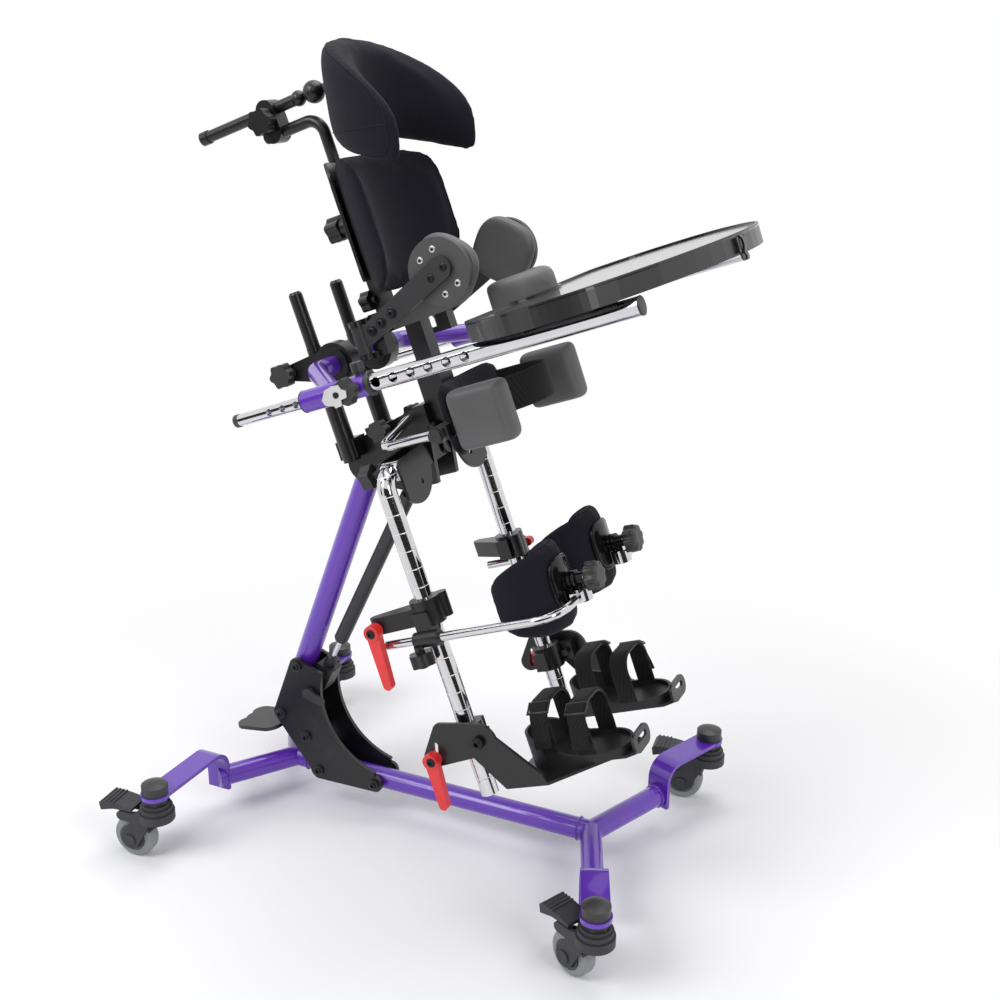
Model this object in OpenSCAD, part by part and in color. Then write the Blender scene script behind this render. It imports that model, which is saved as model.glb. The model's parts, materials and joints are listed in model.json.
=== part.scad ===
// Supine standing frame: rolling base, tilting body frame, tray, trunk pads and leg supports.
// X runs forward to the tray, Y to the user's left, Z up from the floor.

/* [Base] */
// Height of the base tube axis above the floor
base_z = 56; // [50:1:62]
// Outside diameter of the base tubes
base_tube_d = 32; // [28:0.5:34]
// Where the spine meets the rear cross tube
spine_back = -262; // [-270:1:-254]
// Where the spine meets the front cross tube
spine_front = 240; // [230:1:256]
// Rear caster stem, distance behind the origin
rear_stem_x = -338; // [-350:1:-330]
// Front caster stem, distance ahead of the origin
front_stem_x = 341; // [330:1:350]
// Half of the width between the rear stems
rear_half = 254; // [240:1:270]
// Half of the width between the front stems
front_half = 244; // [230:1:260]
// Half of the width over the ends of the rear cross tube
rear_cross = 110; // [100:1:118]
// Half of the width over the ends of the front cross tube
front_cross = 140; // [130:1:146]
// How far back the rear cross tube ends lie from the spine end
rear_sweep = 75; // [60:1:80]
// How far forward the front cross tube ends lie from the spine end
front_sweep = 58; // [50:1:64]
// Outside radius of the bend in a caster strap
strap_bend = 30; // [20:1:36]
// Thickness of the strap that carries a caster
strap_t = 6; // [5:0.5:7]
// Width of the strap that carries a caster
strap_w = 38; // [34:1:42]

/* [Casters] */
// Diameter of the caster wheel
wheel_d = 64; // [60:1:66]
// Width of the caster tyre
wheel_w = 24; // [20:1:25]
// Distance of the wheel axle behind the stem
trail = 38; // [34:1:42]
// Height of the underside of the caster strap above the floor
strap_z = 103; // [100:1:110]
// Diameter of the caster stem
stem_d = 12; // [10:1:14]
// Diameter of the domed cap over the stem
cap_d = 38; // [34:1:40]
// Length of the brake pedal behind its pivot
brake_len = 36; // [32:1:44]

/* [Mast] */
// Tilt pivot, distance from the origin along X
pivot_x = -105; // [-112:1:-98]
// Height of the tilt pivot above the floor
pivot_z = 575; // [560:1:590]
// Forward lean of the mast from the vertical
mast_lean = 21; // [19:0.5:22]
// Outside diameter of the mast tube
mast_d = 35; // [32:0.5:36]
// Length of the mast from the tilt pivot to its lower end
mast_len = 480; // [474:1:486]
// Thickness of the mast side plates
plate_t = 6; // [4:0.5:8]
// Gap between the mast side plates
plate_gap = 44; // [42:1:48]
// Gas spring lower pivot, distance behind the tilt pivot
gas_back = 110; // [106:1:114]
// Gas spring lower pivot, distance below the tilt pivot
gas_drop = 383; // [380:1:386]
// Forward lean of the gas spring from the vertical
gas_lean = 26; // [25:0.5:27]
// Gas spring length between its pivots
gas_len = 415; // [411:1:418]
// Diameter of the gas spring body
gas_d = 22; // [20:1:24]
// Diameter of the gas spring rod
gas_rod_d = 8; // [6:1:10]

/* [Body frame] */
// Recline of the body frame from the vertical
tilt = 20; // [18:0.5:22]
// Half of the width between the rear posts
post_half = 52; // [50:1:56]
// Diameter of the rear posts
post_d = 19; // [17:0.5:20]
// Upper end of the rear posts above the tilt pivot
post_top = 255; // [240:1:270]
// Length of the bare grip at the top of each rear post
grip_len = 74; // [66:1:74]
// Push frame crossbar, height above the tilt pivot
bar_v = 147; // [143:1:152]
// Push frame crossbar, distance ahead of the tilt pivot
bar_u = 31; // [29:1:34]
// Diameter of the push frame tube
bar_d = 25.4; // [22:0.2:26]
// Half of the width between the tray tubes
tray_half = 205; // [195:1:215]
// Height of the tray tubes above the tilt pivot
tray_v = 120; // [116:1:124]
// Rear end of the tray sleeves ahead of the tilt pivot
sleeve_back = 71; // [65:1:76]
// Length of the tray sleeves
sleeve_len = 98; // [90:1:104]
// Wall of the tray sleeves
sleeve_wall = 3; // [2:0.5:4]
// Back post, distance ahead of the tilt pivot
post_u = 138; // [136:1:141]
// Width of the square back post
back_post_w = 25.4; // [22:0.2:26]

/* [Tray] */
// Diameter of the tray tubes
tray_tube_d = 22.2; // [20:0.2:23]
// Front end of the tray tubes ahead of the tilt pivot
tube_front = 534; // [520:1:545]
// Diameter of the thin rear rods
rear_rod_d = 15.9; // [14:0.1:17]
// Spacing of the adjustment holes
hole_pitch = 25.4; // [24:0.2:26]
// Diameter of the adjustment holes in the tray tubes
hole_d = 12.4; // [10:0.2:13]
// Diameter of the holes in the thin rear rods
rear_hole_d = 9; // [6:0.2:10]
// Rear edge of the tray ahead of the tilt pivot
tray_back = 316; // [310:1:322]
// Front edge of the tray ahead of the tilt pivot
tray_front = 610; // [600:1:620]
// Half of the width of the tray
tray_w = 272; // [262:1:280]
// Height of the tray rim band
tray_h = 25; // [22:1:30]
// Wall of the tray
tray_wall = 4; // [3:0.5:6]
// Radius of the body cut-out in the tray
cutout_r = 69; // [66:1:74]

/* [Trunk supports] */
// Width of the back pad round its curve
back_w = 252; // [240:1:260]
// Height of the back pad
back_h = 186; // [175:1:190]
// Lower edge of the back pad above the tilt pivot
back_low = 224; // [220:1:230]
// Radius that the back pad is curved to
back_r = 150; // [142:1:160]
// Head bar height above the tilt pivot
head_v = 494; // [488:1:500]
// Diameter of the head bar and its post
head_d = 16; // [14:0.5:17]
// Half of the width between the outer faces of the lateral pads
lateral_half = 104; // [100:1:110]
// Diameter of the lateral pads
lateral_d = 86; // [78:1:92]
// Half of the width between the outer faces of the hip pads
hip_half = 133; // [128:1:138]
// Side of the square hip pads
hip_size = 82; // [76:1:86]

/* [Legs] */
// Half of the width between the leg tubes
leg_half = 134; // [132:1:138]
// Leg tubes, distance ahead of the tilt pivot
leg_u = 94; // [92:1:96]
// Diameter of the leg tubes
leg_d = 25.4; // [23:0.2:26]
// Lower end of the leg tubes below the tilt pivot
leg_low = 465; // [460:1:475]
// Knee clamp, distance below the tilt pivot
knee_v = 195; // [190:1:205]
// Diameter of the knee rods
knee_rod_d = 12; // [10:0.5:13]
// Half of the width between the knee pad centres
knee_half = 74; // [72:1:80]
// Foot clamp, distance below the tilt pivot
foot_v = 378; // [374:1:382]
// Foot sole, distance below the tilt pivot
sole_v = 445; // [440:1:450]
// Length of the foot tray
foot_len = 150; // [140:1:156]
// Half of the width between the foot tray centres
foot_half = 80; // [76:1:84]

/* [Hidden] */
$fn = 48;
run = 0.05;
slip = 0.1;
free = 0.3;
post_clear = 0.2;
post_wall = 3;
post_low = 12;
post_tip = 4;
grip_step = 0.6;
lap = 0.5;
swell = 0.04;
bolt_r = 4;
wall_v = 1.6;
sides = [-1, 1];
wheel_r = wheel_d / 2;
fork_inner = wheel_w / 2 + 1.5;
fork_t = 5;
stems = [[rear_stem_x, -rear_half], [rear_stem_x, rear_half],
         [front_stem_x, -front_half], [front_stem_x, front_half]];
brake_x = -trail - 12;
brake_z = wheel_d + 6;
rest_turn = [5, 0, -25, 7];
pin_r = 3;
plate_y = plate_gap / 2;
gas_foot = [pivot_x - gas_back, 0, pivot_z - gas_drop];
gas_dir = [sin(gas_lean), 0, cos(gas_lean)];
mast_dir = [sin(mast_lean), 0, cos(mast_lean)];
pivot = [pivot_x, 0, pivot_z];
head_r = mast_d / 2;
pivot_r = 7;
cheek_t = 8;
cheek_y = head_r + 6;
cheek_out = cheek_y + cheek_t;
gas_eye_r = 10;
eye_gap = 3;
eye_t = 8;
ear_t = 5;
gas_top = gas_foot + gas_len * gas_dir;
eye_u = (gas_top.x - pivot_x) * cos(tilt) + (gas_top.z - pivot_z) * sin(tilt);
eye_v = (gas_top.z - pivot_z) * cos(tilt) - (gas_top.x - pivot_x) * sin(tilt);
pedal_x = -225;
pedal_z = base_z + 57;
bolt_low = [-205, base_z + 2];
bolt_front = [-106, base_z + 2];
function on_mast(d) = [pivot_x - d * mast_dir.x, pivot_z - d * mast_dir.z];
bolt_top = on_mast(368);
bolt_mid = on_mast(462);
sweep_r = 121;
sweep_c = [bolt_front.x + 31, base_z + 139];
sleeve_r = tray_tube_d / 2 + slip + sleeve_wall;
sleeve_front = sleeve_back + sleeve_len;
tube_back = sleeve_back + 14;
panel_v = tray_v + tray_tube_d / 2 + 2;
cutout_u = tray_back - 38;
leg_r = leg_d / 2;
hinge_y = leg_half - 31;
hinge_v = -8;
hinge_pin = 6;
lug_r = 14;
lug_half = leg_r + 1.2;
quad_t = 4;
quad_u = leg_u + lug_half + free;
clamp_h = 36;
clamp_wall = 8;
clamp_r = leg_r + slip + clamp_wall;
boss_y = leg_half + 24;
boss_v = knee_v + 32;
boss_r = 11;
lever_y = leg_half + 31;
knee_pivot_u = leg_u + 196;
knee_axis_u = leg_u + 112;
knee_r = 54;
foot_y = leg_half + 24;
foot_bolt = [leg_u + 28, -foot_v];
foot_lock = [leg_u - 50, -foot_v - 15];
foot_back = leg_u + 56;
side_t = 5;
sole_t = 4;
back_c = 275;
shell_t = 4;
shell_r = back_r + 14;
shell_u = back_c - shell_r - shell_t;
beam_v = 182;
arm_u = 114;
arm_v = 168;
lat_u = 252;
lat_v = 221;
hip_u = 255;
hip_v = 37;
hip_bar_v = 28;
hip_bar_d = 12.7;
hip_clamp_u = 192;
hip_pad_t = 40;
ball_r = 15;
ball_u = 99;
head_back_u = 144;
knob_r = 17;

// Shared shapes

// Places children in the tilted body frame, whose origin is the tilt pivot
module tilted() {
  translate(pivot) rotate([0, -tilt, 0]) children();
}

// Draws the right-hand piece, or its mirror image for the left
module handed(side) {
  mirror([0, side > 0 ? 1 : 0, 0]) children();
}

// Round bar between two points
module rod(a, b, r) {
  d = b - a;
  translate(a) rotate([0, acos(d.z / norm(d)), atan2(d.y, d.x)]) cylinder(h = norm(d), r = r);
}

function unit(v) = v / norm(v);
function way(p, i) = unit(p[i + 1] - p[i]);
function turn(p, i) = acos(way(p, i - 1) * way(p, i));
function setback(p, i, bend) = i == 0 || i == len(p) - 1 ? 0 : bend * tan(turn(p, i) / 2) - lap;

// Round bar through a list of points, with each corner bent to a radius
module bent_rod(p, r, bend) {
  for (i = [0 : len(p) - 2])
    rod(p[i] + way(p, i) * setback(p, i, bend), p[i + 1] - way(p, i) * setback(p, i + 1, bend), r);
  for (i = [1 : len(p) - 2]) {
    y = way(p, i - 1);
    n = unit(way(p, i) - y * (way(p, i) * y));
    c = p[i] - y * (setback(p, i, bend) + lap) + n * bend;
    z = cross(-n, y);
    multmatrix([[-n.x, y.x, z.x, c.x], [-n.y, y.y, z.y, c.y], [-n.z, y.z, z.z, c.z], [0, 0, 0, 1]])
      rotate_extrude(angle = turn(p, i)) translate([bend, 0]) circle(r + swell);
  }
}

// Points of an arc round a centre
function arc(c, r, a0, a1, n) =
  [for (i = [0 : n]) let (a = a0 + (a1 - a0) * i / n) c + r * [cos(a), sin(a)]];

// Flat link with two round ends
module link(p, q, rp, rq) {
  a = atan2(q.y - p.y, q.x - p.x);
  b = acos((rp - rq) / norm(q - p));
  polygon(concat(arc(p, rp, a + b, a + 360 - b, 20), arc(q, rq, a - b, a + b, 20)));
}

// Rectangle with round corners, given by its low and high corners
module round_rect(low, high, r) {
  near = low + [r, r];
  far = high - [r, r];
  polygon(concat(arc(far, r, 0, 90, 8), arc([near.x, far.y], r, 90, 180, 8),
                 arc(near, r, 180, 270, 8), arc([far.x, near.y], r, 270, 360, 8)));
}

// Turns a flat outline drawn in X and Z into a plate between two Y faces
module plate(y0, y1) {
  translate([0, max(y0, y1), 0]) rotate([90, 0, 0]) linear_extrude(abs(y1 - y0)) children();
}

// Turns an outline drawn in Y and Z into a plate between two X faces
module cross_plate(x0, x1) {
  translate([x0, 0, 0]) rotate([90, 0, 90]) linear_extrude(x1 - x0) children();
}

// Box between two corners
module block(low, high) {
  translate(low) cube(high - low);
}

// Round bar along Y between two faces
module y_rod(x, z, y0, y1, r) {
  translate([x, max(y0, y1), z]) rotate([90, 0, 0]) cylinder(h = abs(y1 - y0), r = r);
}

// Round bar along X between two faces
module x_rod(y, z, x0, x1, r) {
  translate([x0, y, z]) rotate([0, 90, 0]) cylinder(h = x1 - x0, r = r);
}

// Lobed clamping knob on the Z axis, with its stud below
module star_knob(r, h, lobes, stud) {
  steps = 12 * lobes;
  wave = function (a) r * (0.92 + 0.1 * cos(lobes * a));
  linear_extrude(h) polygon([for (i = [0 : steps - 1]) let (a = 360 * i / steps) wave(a) * [cos(a), sin(a)]]);
  translate([0, 0, -stud]) cylinder(h = stud + 1, r = 0.38 * r);
}

// How far a lever stands turned at rest: the right ones hang, the left ones are set forward
function lever_rest(side) = side > 0 ? -90 : 0;
// Tapered clamping lever that hangs from a hub on the Y axis
module clamp_lever(len) {
  y_rod(0, 0, -15, 0, 11);
  plate(-13, -2) link([0, 0], [-4, -len], 9.5, 6.5);
}

// Ratio of half width and half height at an angle round a pad's rounded outline
function lobe(c, e) = (c < 0 ? -1 : 1) * pow(abs(c), 2 / e);
function crown(q) = pow(1 - pow(q, 4), 0.5);
// Point of a crowned pad: q runs from centre to rim, a round it, s is the front or back bulge
function pad_flat(q, a, w, h, e, pinch, droop, taper, s) =
  let (x = lobe(cos(a), e), y = lobe(sin(a), e))
  let (px = q * w / 2 * x * (1 - pinch * pow(cos(a), 8)))
  let (k = pow(2 * px / w, 2))
  let (py = q * h / 2 * y * (1 - pinch * pow(sin(a), 8)) * (1 - taper * k) - droop * k)
  [px, py, s * crown(q)];
// Wraps a flat point round an axis ahead of the pad
function pad_bend(p, r) = r == 0 ? p :
  [(r - p.z) * sin(p.x / r * 180 / PI), p.y, r - (r - p.z) * cos(p.x / r * 180 / PI)];
pad_rings = [0.4, 0.7, 0.88, 0.97];
pad_n = 28;

// Crowned pad with drawn-in sides: width, height, front bulge, back bulge, corner power, bend radius
module cushion(w, h, front, back, e, bend, droop = 0, taper = 0, pinch = 0.03) {
  nr = len(pad_rings);
  ring = function (q, s) [for (i = [0 : pad_n - 1])
    pad_bend(pad_flat(q, 360 * i / pad_n, w, h, e, pinch, droop, taper, s), bend)];
  pts = concat([pad_bend([0, 0, front], bend)], [for (q = pad_rings) each ring(q, front)], ring(1, 0),
               [for (k = [nr - 1 : -1 : 0]) each ring(pad_rings[k], -back)], [pad_bend([0, 0, -back], bend)]);
  rows = 2 * nr + 1;
  last = len(pts) - 1;
  at = function (k, i) 1 + k * pad_n + (i + pad_n) % pad_n;
  polyhedron(pts, concat(
    [for (i = [0 : pad_n - 1]) [0, at(0, i + 1), at(0, i)]],
    [for (k = [0 : rows - 2], i = [0 : pad_n - 1]) each [[at(k, i), at(k, i + 1), at(k + 1, i + 1)],
                                                        [at(k, i), at(k + 1, i + 1), at(k + 1, i)]]],
    [for (i = [0 : pad_n - 1]) [last, at(rows - 1, i), at(rows - 1, i + 1)]]));
}

// Base

// Straight tube along the middle of the base, drilled for the mast plates
module base_spine() color("rebeccapurple") difference() {
  x_rod(0, base_z, spine_back, spine_front, base_tube_d / 2);
  x_rod(0, base_z, spine_back - 1, spine_front + 1, base_tube_d / 2 - wall_v);
  for (b = [bolt_low, bolt_front]) y_rod(b.x, b.y, -base_tube_d, base_tube_d, bolt_r + slip);
  for (s = sides) {
    rod([spine_back, 0, base_z], [spine_back - rear_sweep, s * rear_cross, base_z], base_tube_d / 2 + slip);
    rod([spine_front, 0, base_z],
      [spine_front + front_sweep, s * front_cross, base_z], base_tube_d / 2 + slip);
  }
}

// One swept cross tube with the bent straps welded to its ends
module cross_tube(x0, sweep, tube_half, stem_x, half) {
  for (s = sides) {
    tip = [x0 + sweep, s * tube_half, base_z];
    difference() {
      rod([x0, 0, base_z], tip, base_tube_d / 2);
      block([x0 - 200, s > 0 ? -60 : 0, 0], [x0 + 200, s > 0 ? 0 : 60, 120]);
    }
    caster_strap(tip, [stem_x, s * half]);
  }
}

// Side outline of a caster strap: upright flange, bend and flat run
module strap_outline(reach) {
  low = base_z - base_tube_d / 2 - 2;
  top = strap_z + strap_t;
  inner = strap_bend - strap_t;
  turn_z = top - strap_bend;
  polygon(concat([[-strap_t, low]], arc([inner, turn_z], strap_bend, 180, 90, 9),
        [[reach, top], [reach, strap_z]],
                 arc([inner, turn_z], inner, 90, 180, 9), [[0, low]]));
}

// Flange at a tube's end, bent out flat to the eye over the caster
module caster_strap(tip, stem) {
  a = atan2(stem.y - tip.y, stem.x - tip.x);
  reach = norm([stem.x - tip.x, stem.y - tip.y]);
  translate([tip.x, tip.y, 0]) rotate(a) difference() {
    union() {
      plate(-strap_w / 2, strap_w / 2) strap_outline(reach);
      translate([reach, 0, strap_z]) cylinder(h = strap_t, r = strap_w / 2 + 2);
    }
    translate([reach, 0, strap_z - 1]) cylinder(h = strap_t + 2, r = stem_d / 2 + run);
  }
}

// Rear and front cross tubes
module cross_tubes() color("rebeccapurple") {
  cross_tube(spine_back, -rear_sweep, rear_cross, rear_stem_x, rear_half);
  cross_tube(spine_front, front_sweep, front_cross, front_stem_x, front_half);
}

// Domed stem caps, plate bolts and pivot pins of the base
module base_fasteners() color("dimgray") {
  for (s = stems) translate([s.x, s.y, strap_z + strap_t]) {
    cylinder(h = 13, r = cap_d / 2);
    translate([0, 0, 13]) intersection() {
      translate([0, 0, 6 - cap_d]) sphere(r = cap_d);
      cylinder(h = 8, r = cap_d / 2);
    }
  }
  for (b = [bolt_low, bolt_front, bolt_top, bolt_mid, [gas_foot.x, gas_foot.z], [pedal_x, pedal_z]]) {
    y_rod(b.x, b.y, -plate_y - plate_t, plate_y + plate_t, bolt_r);
    for (s = sides) y_rod(b.x, b.y, s * (plate_y + plate_t), s * (plate_y + plate_t + 4), 2 * bolt_r);
  }
  plate(-plate_y - plate_t - 8, -plate_y - plate_t - 3)
    link([gas_foot.x, gas_foot.z], [gas_foot.x + 22, gas_foot.z - 9], 9, 6);
}

// Outline of a mast plate, swept in at the front
module mast_outline() {
  difference() {
    union() {
      link(bolt_low, bolt_front, 15, 13);
      link(bolt_top, bolt_mid, 13, 13);
      polygon([bolt_top + [9, 9], bolt_mid + [-10, -8], bolt_low + [-15, 0], bolt_low, bolt_front + [0, 13],
               sweep_c, bolt_top + [30, 0]]);
    }
    translate(sweep_c) circle(sweep_r, $fn = 96);
  }
}

// Pair of side plates that hold the mast on the spine
module mast_plates() color("black") for (s = sides) difference() {
  plate(s * plate_y, s * (plate_y + plate_t)) mast_outline();
  for (b = [bolt_low, bolt_front, bolt_top, bolt_mid, [gas_foot.x, gas_foot.z], [pedal_x, pedal_z]])
    y_rod(b.x, b.y, -60, 60, bolt_r + slip);
}

// Leaning mast tube with the bored pivot barrel on top
module mast_tube() color("rebeccapurple") difference() {
  union() {
    rod(pivot - mast_len * mast_dir, pivot, mast_d / 2);
    y_rod(pivot_x, pivot_z, -plate_y, plate_y, head_r);
  }
  rod(pivot - (mast_len + 1) * mast_dir, pivot - 40 * mast_dir, mast_d / 2 - wall_v);
  y_rod(pivot_x, pivot_z, -40, 40, pivot_r + run);
  for (b = [bolt_top, bolt_mid]) y_rod(b.x, b.y, -40, 40, bolt_r + slip);
}

// Casters

// Places children at a caster's stem, turned to the way that it trails
module at_caster(i) {
  translate([stems[i].x, stems[i].y, 0]) rotate(rest_turn[i]) children();
}

// Outline of a fork cheek: head, axle leg and brake lobe
module cheek_outline() {
  link([-trail, wheel_r], [-trail + 22, wheel_d + 4], 15, 13.4);
  link([-trail + 20, brake_z], [brake_x, brake_z], 7.5, 7.5);
  translate([-trail + 12, wheel_d + 3]) square([trail, 12]);
}

// Strip that closes the fork over the wheel
module fender_outline() {
  intersection() {
    difference() {
      circle(wheel_r + 4.5);
      circle(wheel_r + 1.8);
    }
    polygon([[0, 0], [80, 40], [60, 80], [5, 80]]);
  }
}

// Swivel head, stem, nut, two cheeks and axle of one caster
module caster_fork(i) color("dimgray") at_caster(i) {
  head = wheel_d + 3;
  difference() {
    union() {
      translate([0, 0, head]) cylinder(h = 13, r = 26);
      for (y = sides) plate(y * fork_inner, y * (fork_inner + fork_t)) cheek_outline();
      plate(-fork_inner - 1, fork_inner + 1) translate([-trail, wheel_r]) fender_outline();
    }
    y_rod(brake_x, brake_z, -40, 40, pin_r + run);
  }
  translate([0, 0, head + 13]) cylinder(h = 8, r = 23.5);
  translate([0, 0, head + 21]) cylinder(h = 6, r = 20.5);
  translate([0, 0, head + 27]) cylinder(h = strap_z - head - 27 - free, r = 19, $fn = 6);
  translate([0, 0, strap_z - 1]) cylinder(h = strap_t, r = stem_d / 2);
  y_rod(-trail, wheel_r, -fork_inner - fork_t - 2, fork_inner + fork_t + 2, 4);
  for (y = sides) y_rod(-trail, wheel_r, y * (fork_inner + fork_t), y * (fork_inner + fork_t + 2), 9);
}

// Round-shouldered tyre on a dished hub
module caster_wheel(i) color("gray") at_caster(i) translate([-trail, 0, wheel_r]) rotate([90, 0, 0]) {
  shoulder = 7;
  hub_r = wheel_r - 11;
  half = wheel_w / 2;
  rotate_extrude() {
    difference() {
      union() {
        translate([4 + run, -half + 2]) square([hub_r - 4, wheel_w - 4]);
        translate([hub_r - 4, -half]) square([wheel_r - shoulder - hub_r + 4, wheel_w]);
        translate([hub_r, shoulder - half]) square([wheel_r - hub_r, wheel_w - 2 * shoulder]);
        for (y = sides) translate([wheel_r - shoulder, y * (half - shoulder)]) circle(shoulder);
      }
      for (y = sides) translate([hub_r - 2, y * half - 1.5]) square([2, 3]);
      for (y = sides) translate([9, y * half - 4]) square([hub_r - 14, 8]);
    }
  }
}

// Ribbed wedge pedal with trunnions in the fork cheeks
module caster_brake(i) color("dimgray") at_caster(i) {
  tail = brake_x - brake_len;
  wide = fork_inner + fork_t;
  tongue = fork_inner - free;
  y_rod(brake_x, brake_z, -wide, wide, pin_r);
  y_rod(brake_x, brake_z, -tongue, tongue, 5.5);
  plate(-tongue, tongue) translate([brake_x - 5.5, brake_z]) square([11, 12]);
  plate(-wide, wide) polygon([[brake_x + 19, brake_z + 10], [brake_x + 19, brake_z + 14],
        [brake_x - 6, brake_z + 18],
             [tail + 4, brake_z + 19], [tail, brake_z + 15],
                   [tail + 2, brake_z + 3], [brake_x - 12, brake_z + 9]]);
  for (k = [0 : 3]) y_rod(tail + 6 + 6 * k, brake_z + 18.6, -wide, wide, 1.6);
}

// Gas spring and release

// Lower eye, release block and polished rod
module gas_rod() color("silver") difference() {
  union() {
    y_rod(gas_foot.x, gas_foot.z, -9, 9, 11);
    translate(gas_foot) rotate([0, gas_lean, 0]) {
      block([-13, -15, 8], [15, 15, 44]);
      block([-6, -19, 22], [8, 19, 34]);
      cylinder(h = 60, r = 9);
      cylinder(h = 210, r = gas_rod_d / 2);
    }
  }
  y_rod(gas_foot.x, gas_foot.z, -40, 40, bolt_r + run);
}

// Gas cylinder with its flat upper eye
module gas_cylinder() color("black") translate(gas_foot) rotate([0, gas_lean, 0]) {
  body_low = 98;
  body_high = gas_len - 40;
  difference() {
    union() {
      translate([0, 0, body_low]) cylinder(h = body_high - body_low, r = gas_d / 2);
      translate([0, 0, body_low - 4]) cylinder(h = 5, r = gas_d / 2 - 2);
    }
    translate([0, 0, body_low + 6]) cylinder(h = body_high - body_low - 12, r = gas_d / 2 - 2);
    translate([0, 0, body_low - 5]) cylinder(h = 20, r = gas_rod_d / 2 + run);
  }
  plate(-eye_t / 2, eye_t / 2) link([0, body_high], [0, gas_len], 7, gas_eye_r);
}

// Foot pedal: hub between the plates, arm under the mast and a kidney-shaped tread
module release_pedal() color("dimgray") translate([pedal_x, 0, pedal_z]) {
  arm = 62;
  difference() {
    union() {
      y_rod(0, 0, -15, 15, 9);
      block([-arm, -12, -3], [-4, 12, 3]);
    }
    y_rod(0, 0, -40, 40, bolt_r + run);
  }
  translate([-arm + 4, 0, 0]) rotate([0, -8, 0]) translate([0, 0, -3]) linear_extrude(6) difference() {
    union() {
      link([-20, -14], [-58, -20], 22, 16);
      link([-20, 14], [-58, 20], 22, 16);
      link([-20, 0], [-52, 0], 22, 20);
    }
    translate([10, -34]) circle(12);
    translate([10, 34]) circle(12);
  }
}

// Body frame

// Cheek outline of the hip hub
module hub_outline() {
  circle(24);
  polygon([[-24, 0], [-14, -20], [eye_u - 10, eye_v - 16], [quad_u, eye_v - 16], [quad_u + 12, 20],
           [quad_u + 12, 60], [20, 40], [-14, 20]]);
}

// Cross plate that carries a leg hinge, with a round lower edge
module quadrant() {
  link([-cheek_y, hinge_v + 4], [-hinge_y, hinge_v], 16, 15);
  intersection() {
    translate([-hinge_y + 16, hinge_v - 6]) circle(46);
    translate([-hinge_y - 14, -62]) square([hinge_y + 14 - cheek_y, 62]);
  }
}

// Pivot cheeks, gas spring ears, leg hinge plates, post lugs and back post socket
module hip_hub() color("black") {
  socket = back_post_w / 2 + post_clear;
  socket_out = socket + 5;
  quad_back = leg_u - lug_half - free - quad_t;
  difference() {
    union() {
      for (s = sides) plate(s * cheek_y, s * cheek_out) hub_outline();
      block([quad_u - 14, -cheek_out, -20], [quad_u, cheek_out, 44]);
      block([quad_u - 2, -cheek_out, 30], [post_u - socket, cheek_out, 60]);
      block([post_u - socket_out, -socket_out, 34], [post_u + socket_out, socket_out, 104]);
      for (s = sides) handed(s) {
        plate(-eye_t / 2 - eye_gap - ear_t, -eye_t / 2 - eye_gap)
          link([eye_u, eye_v], [quad_u - 8, -8], gas_eye_r, 12);
        cross_plate(quad_u, quad_u + quad_t) quadrant();
        cross_plate(quad_back, quad_back + quad_t)
          link([-cheek_y - 2, hinge_v + 4], [-hinge_y, hinge_v], 15, 15);
        x_rod(-hinge_y, hinge_v, quad_back, quad_u + quad_t, hinge_pin);
        block([-16, -post_half - 4, 16], [14, -cheek_y - 1, 42]);
      }
    }
    block([post_u - socket, -socket, 24], [post_u + socket, socket, 120]);
    for (s = sides) translate([0, s * post_half, 0]) cylinder(h = 60, r = post_d / 2 + post_wall + slip);
    for (s = sides) x_rod(s * (hinge_y - 30), hinge_v - 26, quad_u - 1, quad_u + quad_t + 1, 4);
  }
  y_rod(0, 0, -cheek_out, cheek_out, pivot_r);
}

// Crossbar, splayed arms and tray sleeves of the push frame
module push_frame() color("rebeccapurple") {
  mid = sleeve_back + 44;
  corner = post_half + 56;
  difference() {
    bent_rod([[mid, -tray_half, tray_v], [bar_u, -corner, bar_v],
          [bar_u, corner, bar_v], [mid, tray_half, tray_v]],
             bar_d / 2, 30);
    for (s = sides) x_rod(s * tray_half, tray_v, sleeve_back - 1, sleeve_front + 1, sleeve_r - 1);
  }
  for (s = sides) difference() {
    x_rod(s * tray_half, tray_v, sleeve_back, sleeve_front, sleeve_r);
    x_rod(s * tray_half, tray_v, sleeve_back - 1, sleeve_front + 1, tray_tube_d / 2 + slip);
  }
}

// Two upright posts, each welded to a round clamp on the crossbar
module rear_posts() color("black") for (s = sides) handed(s) difference() {
  union() {
    grip_top = post_top - post_tip;
    translate([0, -post_half, post_low]) cylinder(h = grip_top - post_low, r = post_d / 2);
    translate([0, -post_half, post_low])
      cylinder(h = grip_top - grip_len - post_low, r = post_d / 2 + grip_step);
    translate([0, -post_half, post_low]) cylinder(h = 92, r = post_d / 2 + post_wall);
    translate([0, -post_half, grip_top]) cylinder(h = post_tip, r1 = post_d / 2, r2 = post_d / 2 - 2.5);
    y_rod(bar_u, bar_v, -post_half - 11, -post_half + 11, bar_d / 2 + 17);
    y_rod(bar_u, bar_v, -post_half - 13, -post_half + 13, bar_d / 2 + 9);
    plate(-post_half - 16, -post_half - 11) link([bar_u, bar_v], [-44, bar_v + 6], 24, 10);
  }
  y_rod(bar_u, bar_v, -post_half - 60, 0, bar_d / 2 + slip);
}

// Chrome arms that carry the hip pads forward from the hub
module hip_bars() color("silver") for (s = sides) handed(s) difference() {
  bent_rod([[leg_u + 3, -cheek_out + 4, hip_bar_v + 18.8], [leg_u + 3, -hip_half + 13, hip_bar_v],
            [hip_clamp_u - 11, -hip_half + 13, hip_bar_v]], hip_bar_d / 2, 18);
  block([leg_u - 20, -cheek_out, hip_bar_v - 20], [leg_u + 30, 0, hip_bar_v + 50]);
}

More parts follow.
